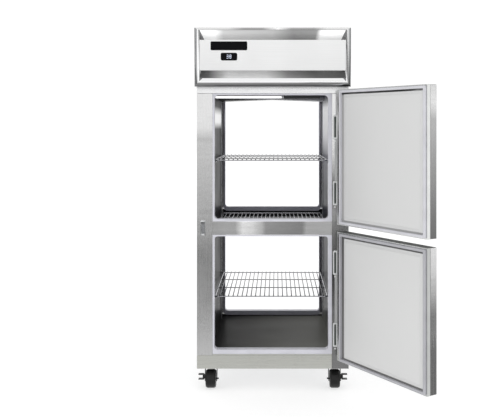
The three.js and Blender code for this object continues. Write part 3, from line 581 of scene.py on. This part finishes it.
CORNER = 20 * MM
STRIP_LEFT = 10 * MM
STRIP_RIGHT = 21 * MM
STRIP_TOP = 9 * MM
STRIP_BOTTOM = 14 * MM
SILL_STRIP = 26 * MM
REAR_STRIP_LIP = 8 * MM
BASE_PANEL = 79 * MM
SEAM = 0.8 * MM
FACE_THICKNESS = 38 * MM


def breaker_strip(face, level):
    """The plastic strip that rounds an opening's edge."""
    left, bottom, right, top = openings(face)[level]
    drop = SILL_STRIP if level == "lower" else STRIP_BOTTOM
    step = 0.5 * MM
    side = step if face == "front" else REAR_STRIP_LIP
    outer = rounded_outline(
        left - STRIP_LEFT, bottom - drop, right + STRIP_RIGHT, top + STRIP_TOP, 4 * MM)
    lip = rounded_outline(left, bottom, right, top, CORNER)
    deep = rounded_outline(left + side, bottom + step, right - side, top - step, CORNER)
    bm = bmesh.new()
    add_frame_ring(bm, face, [(outer, -3 * MM), (outer, 0.4 * MM)],
                   [(deep, -45 * MM), (deep, -8 * MM), (lip, 0.2 * MM)])
    link_mesh(bm, f"{face}_{level}_breaker_strip", BREAKER, bevel=0.6 * MM)


def rear_inner_strip(level):
    """The rear strip's inside flange, seen through the cabinet from the front, drawn in a darker copy
    of the strip's plastic as painted shade.
    """
    left, bottom, right, top = openings("rear")[level]
    edge, lip = 0.6 * MM, REAR_STRIP_LIP
    outer = rounded_outline(left + edge, bottom - 28 * MM, right - edge, top + 7 * MM, CORNER)
    inner = rounded_outline(left + lip, bottom + edge, right - lip, top - edge, CORNER)
    bm = bmesh.new()
    add_flat_frame(bm, "rear", outer, inner, -47 * MM, -45.4 * MM)
    link_mesh(bm, f"rear_{level}_inner_strip", REAR_STRIP_SHADED, bevel=0.3 * MM)


def face_sheets(face):
    """Jambs, header, mullion, sill and base panel as separate folded sheets, near black inside as
    painted shade in the seams.
    """
    low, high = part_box(f"{face}_face_frame")
    hole_left, lower_foot, hole_right, lower_head = openings(face)["lower"]
    _, upper_foot, _, upper_head = openings(face)["upper"]
    left = hole_left - STRIP_LEFT - SEAM / 2
    right = hole_right + STRIP_RIGHT + SEAM / 2
    between = (left + SEAM, right - SEAM)
    base_top = low.z + BASE_PANEL
    sill = (base_top + SEAM, lower_foot - SILL_STRIP - SEAM)
    mullion = (lower_head + STRIP_TOP + SEAM, upper_foot - STRIP_BOTTOM - SEAM)
    head = upper_head + STRIP_TOP + SEAM / 2
    for name, xs, zs, material in (
        ("left_jamb", (low.x, left), (base_top + SEAM, head - SEAM / 2), LEFT_JAMB),
        ("right_jamb", (right, high.x), (low.z, head - SEAM / 2), RIGHT_JAMB),
        ("header", (low.x, high.x), (head + SEAM / 2, high.z), STEEL_ACROSS),
        ("mullion", between, mullion, MULLION_STEEL),
        ("base_panel", (low.x, right - SEAM), (low.z, base_top), BASE_STEEL),
        ("sill", between, sill, BASE_STEEL),
    ):
        bm = bmesh.new()
        face_box(bm, face, xs, (0, -FACE_THICKNESS), zs)
        piece = link_mesh(bm, f"{face}_{name}", material, bevel=1.2 * MM, segments=3)
        # Painted shade: the inward faces take the near-black sheet.
        piece.data.materials.append(SHEET_BACK_SHADE)
        for polygon in piece.data.polygons:
            if polygon.normal.y * OUTWARD[face] < -0.5:
                polygon.material_index = 1
    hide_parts(f"{face}_face_frame")
    for level in ("lower", "upper"):
        breaker_strip(face, level)
        if face == "rear":
            rear_inner_strip(level)


def screw(bm, centre, radius, outward):
    """A low domed screw head with a dimple in its middle."""
    dome = ((0, 0), (1, 0), (1, 0.35), (0.6, 0.62), (0.25, 0.62), (0.18, 0.3), (0, 0.3))
    add_turned(bm, centre, [(radius * r, radius * outward * h) for r, h in dome], "y", 16)


def keeper():
    """The lock keeper: a rounded block round a sunken plate that two screws hold."""
    low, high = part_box("lock_keeper")
    left, right, bottom, top = low.x, high.x, low.z, high.z
    wall, plate_out = (right - left) / 4, 4.5 * MM
    edge = rounded_outline(left, bottom, right, top, 5 * MM, 6)
    brow = rounded_outline(left + 2 * MM, bottom + 2 * MM, right - 2 * MM, top - 5 * MM, 4 * MM, 6)
    rim = rounded_outline(left + wall, bottom + 10 * MM, right - wall, top - 20 * MM, 7 * MM, 6)
    bm = bmesh.new()
    add_frame_ring(bm, "front", [(edge, 0.3 * MM), (edge, 6 * MM), (brow, 11.5 * MM)],
                   [(rim, 0.3 * MM), (rim, 4 * MM), (rim, 11 * MM)])
    link_mesh(bm, "keeper_block", CHROME, bevel=0.8 * MM)
    bm = bmesh.new()
    add_prism(bm, "y", rim, out("front", 0.4 * MM), out("front", plate_out))
    plate = link_mesh(bm, "keeper_plate", SATIN)
    bm = bmesh.new()
    for rise in (24 * MM, 48 * MM):
        centre = Vector(((left + right) / 2, out("front", plate_out), bottom + rise))
        screw(bm, centre, 3.6 * MM, -1)
    link_mesh(bm, "keeper_screws", SATIN)
    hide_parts("lock_keeper")


# ------------------------ shelves


SHELF_WIRES = 24


def shelf(name, wire):
    """A perimeter wire with rounded corners, cross wires and fine wires front to back."""
    body = f"{name}_shelf"
    low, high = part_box(body)
    rim_radius, wire_radius, cross_radius = 3.4 * MM, 3 * MM, 2.6 * MM
    rim_z = high.z - rim_radius - 1 * MM
    rim = rounded_outline(low.x, low.y, high.x, high.y, 16 * MM, 6, rim_radius)
    rim_piece = wire_piece(f"{name}_shelf_rim", [([(x, y, rim_z) for x, y in rim], True)],
                           rim_radius, RAIL, body)
    left, right = low.x + rim_radius, high.x - rim_radius
    front, back = low.y + rim_radius * 0.4, high.y - rim_radius * 0.4
    z = rim_z + rim_radius + wire_radius * 0.4
    drop = rim_radius * 1.3
    bent = [(front, z - drop), (front + 2 * MM, z - drop / 4), (front + 6 * MM, z),
            (back - 6 * MM, z), (back - 2 * MM, z - drop / 4), (back, z - drop)]
    wires = []
    for index in range(1, SHELF_WIRES + 1):
        x = left + (right - left) * index / (SHELF_WIRES + 1)
        wires.append(([(x, y, height) for y, height in bent], False))
    wire_piece(f"{name}_shelf_wires", wires, wire_radius, wire, body, 2)
    crosses = []
    for share in (1 / 3, 2 / 3):
        y = low.y + (high.y - low.y) * share
        crosses.append(([(left, y, rim_z), (right, y, rim_z)], False))
    wire_piece(f"{name}_shelf_cross_wires", crosses, cross_radius, wire, body)
    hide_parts(body)


# ------------------------ hoods


HOOD_RETURN = 120 * MM
HOOD_BAND = 29.5 * MM
HOOD_RIM = 15 * MM
ROLL_BACK = 42 * MM
# The roll's section in mm: in from the sides, the foot and the head, then back at foot and head.
HOOD_ROLL = (
    (0, 0, 0, 42, 42), (0, 0, 0, 18, 9), (2.5, 2.5, 1.5, 10, 4), (8, 9, 5, 3, 1),
    (16.5, 20, 11, 0, 0), (29.5, 30, 15, 0.2, 2), (29.5, 30, 15, 40, 40),
)


def panel_box():
    """The flat panel's front: its span, foot, top and distance out from the face."""
    low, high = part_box("front_hood_panel")
    return low.x, high.x, low.z, high.z, FACE_Y["front"] - low.y


def hood_depth(face):
    """How far a hood's front stands out from its face."""
    low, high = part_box(f"{face}_hood")
    return abs((low.y if face == "front" else high.y) - FACE_Y[face])


def hood_ring(face):
    """The rolled channel round the hood's front, mitred at its corners."""
    low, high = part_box(f"{face}_hood")
    depth = hood_depth(face)
    place = on_face(face)
    rings = []
    for side, foot, head, foot_back, head_back in HOOD_ROLL:
        left, right = low.x + side * MM, high.x - side * MM
        bottom, near_foot = low.z + foot * MM, depth - foot_back * MM
        top, near_head = high.z - head * MM, depth - head_back * MM
        rings.append([place(left, bottom, near_foot), place(right, bottom, near_foot),
                      place(right, top, near_head), place(left, top, near_head)])
    bm = bmesh.new()
    add_rings(bm, rings, hollow=True)
    piece = link_mesh(bm, f"{face}_hood_ring", POLISHED, smooth=50)
    # Painted shade under the roll, a darker painted reflection on its sides and a painted reflection
    # along its top.
    for material in (UNDERSIDE_SHADE, HOOD_SIDE_SHADE, TOP_RIM):
        piece.data.materials.append(material)
    for polygon in piece.data.polygons:
        centre = polygon.center
        if centre.z < low.z + 12 * MM and polygon.normal.z < -0.25:
            polygon.material_index = 1
        elif min(centre.x - low.x, high.x - centre.x) < 13 * MM:
            polygon.material_index = 2
        elif centre.z > high.z - 16 * MM:
            polygon.material_index = 3
    return piece


def sloped_sheet(face, name, near, far, material):
    """A thin sheet between two level edges, each given as (half width, height, outward)."""
    low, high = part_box(f"{face}_hood")
    middle, thick = (low.x + high.x) / 2, 1.5 * MM
    place = on_face(face)
    section = ((near, 0), (far, 0), (far, thick), (near, thick))
    bm = bmesh.new()
    add_rings(bm, [
        [place(middle + side * half, z, v - back) for (half, z, v), back in section]
        for side in (-1, 1)])
    link_mesh(bm, f"{face}_{name}", material, bevel=0.4 * MM, smooth=30)


def gusset(face, name, points):
    """A small plate at each end of an air slot, from (inset, height, outward) corners."""
    low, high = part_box(f"{face}_hood")
    thick = 1.2 * MM
    place = on_face(face)
    bm = bmesh.new()
    for edge, inward in ((low.x, 1), (high.x, -1)):
        add_rings(bm, [
            [place(edge + inward * (inset + back), z, v - back) for inset, z, v in points]
            for back in (0, thick)])
    # The end plates take the dark underside steel as painted shade in the air slots.
    link_mesh(bm, f"{face}_{name}", UNDERSIDE_SHADE, smooth=30)


def hood_frame(face):
    """The rolled ring, the sloped air slots with their end plates, and the flat returns."""
    low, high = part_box(f"{face}_hood")
    depth = hood_depth(face)
    panel_foot = panel_box()[2]
    half = (high.x - low.x) / 2 - HOOD_BAND
    rim_z = high.z - HOOD_RIM
    lip_z, lip_top = low.z + 30 * MM, low.z + 48 * MM
    ring = hood_ring(face)
    sloped_sheet(face, "upper_slope", (half - 1 * MM, rim_z, depth - 4 * MM),
                 (half - 27 * MM, rim_z - 58 * MM, depth - 62 * MM), UPPER_SLOPE)
    sloped_sheet(face, "lip", (half - 0.5 * MM, lip_z, depth - 1.5 * MM),
                 (half - 17 * MM, lip_top, depth - 9 * MM), POLISHED)
    sloped_sheet(face, "lower_slope", (half - 1 * MM, lip_top - 4 * MM, depth - 12 * MM),
                 (half - 1 * MM, panel_foot + 20 * MM, depth - 70 * MM), LOWER_SLOPE)
    band = HOOD_BAND + 0.4 * MM
    gusset(face, "upper_gussets", [
        (band, rim_z, depth - 5 * MM), (band, rim_z - 60 * MM, depth - 12 * MM),
        (band + 27 * MM, rim_z - 60 * MM, depth - 60 * MM)])
    gusset(face, "lip_gussets", [
        (band, lip_z, depth - 3 * MM), (band, lip_top + 2 * MM, depth - 6 * MM),
        (band + 17 * MM, lip_top + 2 * MM, depth - 10 * MM)])
    sheet, gap = 1.5 * MM, 2 * MM
    roll_end = depth - ROLL_BACK
    between = (low.x + gap, high.x - gap)
    bm = bmesh.new()
    for edge, inward in ((low.x, 1), (high.x, -1)):
        side = (edge, edge + inward * sheet)
        face_box(bm, face, side, (roll_end, -HOOD_RETURN), (low.z, high.z))
    face_box(bm, face, between, (roll_end, -HOOD_RETURN), (high.z - sheet, high.z))
    face_box(bm, face, between, (roll_end, 0.5 * MM), (low.z, low.z + sheet))
    link_mesh(bm, f"{face}_hood_sheets", STEEL_ACROSS, bevel=0.5 * MM)
    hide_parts(f"{face}_hood")


def hood_panel(face):
    """A flat front with its long edges folded straight back."""
    left, right, foot, head, depth = panel_box()
    back = 20 * MM
    sheet = 2 * MM
    profile = [
        (depth - back, foot), (depth, foot), (depth, head), (depth - back, head),
        (depth - back, head - sheet), (depth - sheet, head - sheet),
        (depth - sheet, foot + sheet), (depth - back, foot + sheet),
    ]
    bm = bmesh.new()
    outline = [(out(face, v), z) for v, z in profile]
    add_prism(bm, "x", outline, left, right)
    body = "hood_panel" if face == "front" else BODY
    piece = link_mesh(
        bm, f"{face}_hood_panel_sheet", PANEL_STEEL, body, 0.9 * MM, 3, 25)
    if face == "front":
        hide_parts("front_hood_panel")


def badge():
    """A blank black plate with rounded corners."""
    left, _, _, head, depth = panel_box()
    x, z = left + 64 * MM, head - 60 * MM
    corners = (x, z, x + 212 * MM, z + 51 * MM)
    edge = rounded_outline(*corners, 7 * MM)
    top = rounded_outline(*corners, 6 * MM, inset=1.2 * MM)
    bm = bmesh.new()
    add_rings(bm, outline_rings("front", [
        (edge, depth + 0.2 * MM), (edge, depth + 2 * MM), (top, depth + 2.8 * MM)]))
    link_mesh(bm, "blank_badge", BLACK, "hood_panel")


SEGMENTS = {"3": "abgcd", "8": "abcdefg"}


def digit_bars(bm, text, x, z, height, y):
    """Seven-segment figures made of thin bars."""
    width, bar = height * 0.52, height * 0.12
    middle, side, tall = width / 2, height / 4, height / 2
    spots = {
        "a": (0, tall, width, bar), "g": (0, 0, width, bar), "d": (0, -tall, width, bar),
        "b": (middle, side, bar, tall), "c": (middle, -side, bar, tall),
        "f": (-middle, side, bar, tall), "e": (-middle, -side, bar, tall),
    }
    for index, figure in enumerate(text):
        centre = x + (index - (len(text) - 1) / 2) * width * 1.7
        for key in SEGMENTS[figure]:
            dx, dz, w, h = spots[key]
            half_w, half_h = w / 2 - bar / 3, h / 2 - bar / 6
            add_box(bm, (centre + dx - half_w, y, z + dz - half_h),
                    (centre + dx + half_w, y - 0.5 * MM, z + dz + half_h))


def display():
    """A bezel with a sunken lens and two lit figures."""
    low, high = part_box("display_unit")
    corners = (low.x, low.z, high.x, high.z)
    edge = rounded_outline(*corners, 9 * MM)
    lens = rounded_outline(*corners, 6 * MM, inset=5 * MM)
    rings = ((edge, high.y), (edge, low.y + 1.5 * MM), (lens, low.y), (lens, low.y + 1 * MM))
    bm = bmesh.new()
    add_rings(bm, [[(x, y, z) for x, z in outline] for outline, y in rings])
    bezel = link_mesh(bm, "display_bezel", BLACK, "hood_panel", bevel=0.4 * MM)
    bm = bmesh.new()
    digit_bars(bm, "38", (low.x + high.x) / 2, (low.z + high.z) / 2, 19 * MM, low.y + 0.9 * MM)
    link_mesh(bm, "display_digits", DIGIT, "hood_panel")
    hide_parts("display_unit")


# ------------------------ doors


def door_turn(name):
    """The turn about the pin that takes a shut door to where it stands at rest."""
    joint = JOINTS[f"{name}_door_hinge"]
    angle = -math.radians(joint["range_deg"][0]) * joint["axis"][2]
    pin = Vector(joint["pos_m"])
    return Matrix.Translation(pin) @ Matrix.Rotation(angle, 4, "Z") @ Matrix.Translation(-pin)


def shut_box(node, turn):
    """A door node's low and high corners with its door shut."""
    back = turn.inverted()
    corners = [back @ v.co for v in NODES[node].data.vertices]
    return [Vector(pick(c[i] for c in corners) for i in range(3)) for pick in (min, max)]


HINGE_GROOVE = 9 * MM


def door_gasket(name, face, turn):
    """A hollow-looking bellows strip: a magnet bead over two soft folds."""
    low, high = shut_box(f"{name}_door_gasket", turn)
    width = 14 * MM

    def loop(inset):
        radius = max(2 * MM, 9 * MM - inset * 0.4)
        return rounded_outline(low.x, low.z, high.x, high.z, radius, 5, inset)

    folds = [(1 * MM, 14.6 * MM), (0, 12 * MM), (2 * MM, 9 * MM), (0.2 * MM, 6 * MM),
             (0.5 * MM, 1.6 * MM), (2 * MM, 0.9 * MM)]
    bm = bmesh.new()
    add_frame_ring(bm, face, [(loop(inset), v) for inset, v in folds],
                   [(loop(width - inset), v) for inset, v in folds])
    # The lower door's rubber is the darker copy, as painted shade.
    rubber = GASKETS_LIT_AND_SHADED[name.split("_")[1]]
    piece = link_mesh(
        bm, f"{name}_gasket_bellows", rubber, f"{name}_door", turn=turn, smooth=50)
    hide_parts(f"{name}_door_gasket")


def door_liner(name, face, turn):
    """A pressed inner panel: a rounded flange, a sloping step and a flat field."""
    low, high = shut_box(f"{name}_door_liner", turn)
    right = high.x - HINGE_GROOVE
    profile = []
    for inset, radius, outward in (
        (0, 5, 20), (0, 5, 12.5), (1.2, 5, 11.5), (9, 8, 11.5), (12, 9, 10.8), (18, 10, 6.2),
        (21, 10, 5.4),
    ):
        outline = rounded_outline(low.x, low.z, right, high.z, radius * MM, 6, inset * MM)
        profile.append((outline, outward * MM))
    bm = bmesh.new()
    add_rings(bm, outline_rings(face, profile))
    piece = link_mesh(bm, f"{name}_liner_panel", DOOR_LINING, f"{name}_door",
                      turn=turn, smooth=35)
    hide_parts(f"{name}_door_liner")


DOOR_BACK = 15 * MM
DOOR_FRONT = 80 * MM
TRIM_END = 35 * MM
GROOVE_END = 37 * MM
PIN_TO_EDGE = 8 * MM
# How far the hinges' middles lie in from a door's foot and head.
HINGE_INSETS = {"upper": (177 * MM, 218 * MM), "lower": (135 * MM, 188 * MM)}
# Painted reflection graded up each door's free edge, upper and lower.
EDGE_REFLECTION_TONES = {
    "upper": [(0, 0.22), (1, 0.92), (0.1, 0.24), (0.54, 0.42), (0.78, 0.53), (0.88, 0.95)],
    "lower": [(0, 0.6), (1, 1.0), (0.4, 0.7), (0.53, 0.55), (0.7, 0.85), (0.85, 1.0)],
}
# Painted shade graded up each door's gasket channel, upper and lower.
CHANNEL_SHADE_TONES = {
    "upper": [(0, 0.4), (1, 0.03), (0.965, 0.4), (0.975, 0.03)],
    "lower": [(0, 0.2), (1, 0.12)],
}


def door_span(name, turn):
    """The shut door's edges: free side, hinge side, bottom and top."""
    low, high = shut_box(f"{name}_door_skin", turn)
    return low.x, JOINTS[f"{name}_door_hinge"]["pos_m"][0] - PIN_TO_EDGE, low.z, high.z


def door_edges(name, face, turn):
    """The plastic trim round the door's inner edge, its groove as a near-black band of painted shade,
    the free edge with a painted reflection and the top as painted shade.
    """
    left, right, bottom, top = door_span(name, turn)
    level = name.split("_")[1]
    body = f"{name}_door"

    def band(past, near, far, title, material):
        outer = rounded_outline(left, bottom, right, top, 3 * MM, 4, -past)
        inner = rounded_outline(left, bottom, right, top, 3 * MM, 4, 1 * MM)
        bm = bmesh.new()
        add_flat_frame(bm, face, outer, inner, near, far)
        link_mesh(bm, f"{name}_{title}", material, body, turn=turn)

    # The trim takes its level's copy: the lower door's is darker as painted shade.
    band(0.9 * MM, DOOR_BACK - 0.8 * MM, TRIM_END, "edge_trim", TRIMS_LIT_AND_SHADED[level])
    # Painted shade: the groove is a near-black band.
    band(0.4 * MM, TRIM_END, GROOVE_END, "edge_groove", DARK_TRIM_AND_SHADE)
    # Painted reflection graded up the free edge.
    steel = painted_reflection(f"{name}_edge_painted_reflection", "Z", (bottom, top), EDGE_REFLECTION_TONES[level], 0.25, "z")
    front = DOOR_FRONT - 2 * MM
    bm = bmesh.new()
    face_box(bm, face, (left - 0.9 * MM, left + 1 * MM), (GROOVE_END, front),
             (bottom + 1 * MM, top - 1 * MM))
    link_mesh(bm, f"{name}_free_edge", steel, body, 0.8 * MM, 3, turn=turn)
    # Painted shade: the top edge is near black.
    bm = bmesh.new()
    face_box(bm, face, (left + 1 * MM, right - 4 * MM), (DOOR_BACK + 1 * MM, front),
             (top - 1 * MM, top + 1.2 * MM))
    link_mesh(bm, f"{name}_top_edge", DOOR_TOP_SHADE, body, 0.4 * MM, turn=turn)


def door_groove(name, face, turn):
    """The channel between the gasket and the inner panel, dark with painted shade graded by height."""
    low, high = shut_box(f"{name}_door_gasket", turn)
    liner_low, liner_high = shut_box(f"{name}_door_liner", turn)
    outer = rounded_outline(low.x, low.z, high.x, high.z, 3 * MM, 4, 12 * MM)
    inner = rounded_outline(liner_low.x, liner_low.z, liner_high.x - HINGE_GROOVE, liner_high.z,
                            3 * MM, 4, 1 * MM)
    tones = CHANNEL_SHADE_TONES[name.split("_")[1]]
    material = painted_reflection(f"{name}_channel", "Z", (low.z, high.z), tones, 0.5, "z", 0.0)
    bm = bmesh.new()
    add_flat_frame(bm, face, outer, inner, 14.2 * MM, 14.95 * MM)
    link_mesh(bm, f"{name}_gasket_channel", material, f"{name}_door", turn=turn)


def hinge_brackets(name, face):
    """On the jamb at each hinge: a raised rim, a dark plate inside it as the slot's painted shade, and
    a bright screw.
    """
    foot, head = HINGE_INSETS[name.split("_")[1]]
    _, _, bottom, top = door_span(name, door_turn(name))
    pin_x = JOINTS[f"{name}_door_hinge"]["pos_m"][0]
    rims, slots, screws = bmesh.new(), bmesh.new(), bmesh.new()
    for z in (bottom + foot, top - head):
        outer = rounded_outline(pin_x - 34 * MM, z - 70 * MM, pin_x - 6 * MM, z + 70 * MM, 6 * MM, 5)
        inner = rounded_outline(pin_x - 27 * MM, z - 62 * MM, pin_x - 15 * MM, z + 62 * MM, 5 * MM, 5)
        add_frame_ring(rims, face, [(outer, 3 * MM), (outer, 4.8 * MM)],
                       [(inner, 3 * MM), (inner, 4.4 * MM)])
        # Painted shade: a dark plate fills the slot.
        add_prism(slots, "y", inner, out(face, 3.05 * MM), out(face, 3.6 * MM))
        screw_place = Vector((pin_x - 21 * MM, out(face, 0.3 * MM), z - 82 * MM))
        screw(screws, screw_place, 5 * MM, OUTWARD[face])
    link_mesh(rims, f"{name}_hinge_rims", HINGE_RIM, bevel=0.4 * MM)
    link_mesh(slots, f"{name}_hinge_slots", SLOT_SHADE)
    link_mesh(screws, f"{name}_hinge_screws", HINGE_RIM)


def door_pieces(name):
    face = name.split("_")[0]
    turn = door_turn(name)
    door_edges(name, face, turn)
    door_groove(name, face, turn)
    hinge_brackets(name, face)
    dress(f"{name}_door_skin", STEEL, 1.8 * MM, 3)
    dress(f"{name}_door_handle", SATIN, 0.8 * MM)
    dress(f"{name}_door_lock", CHROME, 0.5 * MM)
    dress(f"{name}_hinge_strip", HINGE_STRIP, 0.7 * MM)
    door_gasket(name, face, turn)
    door_liner(name, face, turn)


# ------------------------ inside


def lamp():
    """A lit tube under a near-black strip of painted shadow, a bright end cap, and the dark raceway
    beyond it.
    """
    low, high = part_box("lamp")
    half, radius, gap = 8.5 * MM, 6.5 * MM, 0.3 * MM
    y, z = high.y - half, (low.z + high.z) / 2
    end = low.x + 399 * MM
    length = end - low.x - 2 * MM
    bm = bmesh.new()
    tube_profile = [(0, 0), (radius * 0.7, 0), (radius, 4 * MM), (radius, length), (0, length)]
    add_turned(bm, Vector((low.x, y, z)), tube_profile, "x", 32)
    tube = link_mesh(bm, "lamp_tube", LAMP)
    # Painted shadow: a near-black strip above the tube.
    box_piece("lamp_painted_shadow", (low.x, low.y, z + radius + gap), (end, y + half, z + half),
              DARK_TRIM_AND_SHADE, 0.6 * MM)
    box_piece("lamp_tray", (low.x, low.y, z - half), (end, y + half, z - radius - gap),
              SATIN, 0.6 * MM)
    bm = bmesh.new()
    cap_place = Matrix.Translation((end + 2 * MM, y, z)) @ AXIS_TURN["x"]
    bmesh.ops.create_cone(bm, cap_ends=True, segments=32, radius1=half, radius2=half,
                          depth=14 * MM, matrix=cap_place)
    link_mesh(bm, "lamp_end_cap", CHROME, bevel=2 * MM)
    box_piece("lamp_raceway", (end + 9 * MM, low.y, z - half), (high.x, y + half, z + half),
              DARK_TRIM_AND_SHADE, 3 * MM, 3)
    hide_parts("lamp")


def dress_rest():
    """Materials and rounding for the nodes that keep their CAD shape."""
    for end in FACES:
        for side in ("left", "right"):
            dress(f"pilaster_{end}_{side}", SATIN, 0.6 * MM)
            dress(f"{end}_{side}_caster_fork", BLACK_PAINT, 0.8 * MM)
            dress(f"{end}_{side}_caster_wheel", TREAD, 2 * MM)
    for side in ("left", "right"):
        dress(f"front_{side}_brake_lever", BLACK_PAINT, 1 * MM)
    for node, material, bevel in (
        ("outer_shell", STEEL, 1.5 * MM),
        ("base_pan", GALVANISED, 1 * MM),
        ("insulation", FOAM, 0),
        # The liner and the air duct take the lining with painted shade and light.
        ("liner", LINING, 0),
        ("air_duct", LINING, 1 * MM),
        ("unit_tray", GALVANISED, 1.5 * MM),
        ("compressor", BLACK_PAINT, 2 * MM),
        ("condenser_coil", FINS, 0.5 * MM),
        ("evaporator_coil", FINS, 0.5 * MM),
        ("condenser_fan", BLACK, 0.5 * MM),
        ("evaporator_fan", BLACK, 0.5 * MM),
    ):
        dress(node, material, bevel)


# ------------------------ studio


def rectangle(xs, ys, zs):
    """Corners of a flat or upright rectangle: one of the three ranges has no length."""
    (left, right), (front, back), (bottom, top) = xs, ys, zs
    if bottom == top:
        return [(left, front, top), (right, front, top), (right, back, top), (left, back, top)]
    return [(left, front, bottom), (right, back, bottom), (right, back, top), (left, front, top)]


def plane(name, corners, material):
    mesh = bpy.data.meshes.new(name)
    mesh.from_pydata(corners, [], [tuple(range(len(corners)))])
    mesh.materials.append(material)
    piece = bpy.data.objects.new(name, mesh)
    bpy.context.scene.collection.objects.link(piece)
    return piece


def card(name, corners, material):
    """A sheet that only shows in reflections, as a studio's flags and reflectors do."""
    piece = plane(name, corners, material)
    piece.visible_camera = False
    piece.visible_diffuse = False
    piece.visible_shadow = False
    piece.visible_transmission = False
    return piece


def card_light(name, axis, stops):
    """A card's light, graded along an axis: stops are (place in metres, brightness)."""
    finish = Finish(name, (0, 0, 0))
    start, end = stops[0][0], stops[-1][0]
    tones = [((where - start) / (end - start), level) for where, level in stops]
    light = finish.node("ShaderNodeEmission")
    finish.link(finish.graded(finish.share_along(axis, start, end), tones), light.inputs["Color"])
    finish.link(light.outputs["Emission"], finish.tree.nodes["Material Output"].inputs["Surface"])
    finish.tree.nodes.remove(finish.shader)
    return finish.material


def floor_and_backdrop():
    """A pale floor, and a white wall behind it that only the camera sees."""
    reach = 40
    finish = Finish("floor", (0.5, 0.5, 0.5), 0.0, 0.7, specular=0.0)
    finish.vary_color(0.01, 2.0)
    finish.shader.inputs["Emission Color"].default_value = (1, 1, 1, 1)
    finish.shader.inputs["Emission Strength"].default_value = 0.64
    plane("floor", rectangle((-reach, reach), (-reach, reach), (0, 0)), finish.material)
    back = reach - 2
    light = card_light("backdrop_light", "X", [(-back, 1.05), (back, 1.05)])
    backdrop = plane("backdrop", rectangle((-back, back), (back, back), (0, back)), light)
    backdrop.visible_diffuse = False
    backdrop.visible_glossy = False
    backdrop.visible_shadow = False


def reflectors():
    """Cards seen in the steel: floor, sides and the room ahead, each with its own shading."""
    rise, reach = 0.004, -36.0
    face_y = FACE_Y["front"]
    for name, xs, ys, zs, axis, stops in (
        ("front_floor", (-9, 1), (reach, face_y), (rise, rise), "Y", [
            (reach, 0.75), (face_y - 10, 0.5), (face_y - 6, 0.14), (face_y - 2.6, 0.16),
            (face_y - 1.7, 0.5), (face_y, 0.66)]),
        ("side_floor", (1, 12), (reach, 3), (rise, rise), "X", [
            (1, 0.2), (2, 0.16), (3.2, 0.3), (5, 0.6), (7, 0.8), (12, 0.8)]),
        ("right", (8, 8), (-9, 6), (0, 5), "Z", [
            (0, 0.8), (0.9, 0.85), (1.7, 1), (2.2, 1), (2.5, 0.25), (5, 0.25)]),
        ("left", (-8, -8), (-9, 6), (0, 5), "Z", [
            (0, 0.45), (0.6, 0.85), (1.9, 0.95), (2.2, 0.25), (5, 0.25)]),
        ("ahead", (-7, 7), (-14, -14), (1.7, 7), "Z", [(1.7, 1.05), (7, 1.15)]),
    ):
        card(f"{name}_card", rectangle(xs, ys, zs), card_light(f"{name}_light", axis, stops))


def studio():
    scene = bpy.context.scene
    scene.view_settings.view_transform = "Standard"
    world = bpy.data.worlds.new("world")
    world.use_nodes = True
    background = world.node_tree.nodes["Background"]
    background.inputs["Color"].default_value = (1, 1, 1, 1)
    background.inputs["Strength"].default_value = 0.95
    scene.world = world
    floor_and_backdrop()
    reflectors()


add_camera()
studio()
for side_face in FACES:
    face_sheets(side_face)
    hood_frame(side_face)
    hood_panel(side_face)
badge()
display()
keeper()
for level_name in ("upper", "middle", "lower"):
    # The middle shelf's wires are the pale copy as painted light, the others the dark copy as painted
    # shade.
    shelf(level_name, LIT_WIRE if level_name == "middle" else SHADED_WIRE)
for door_name in DOORS:
    door_pieces(door_name)
lamp()
dress_rest()
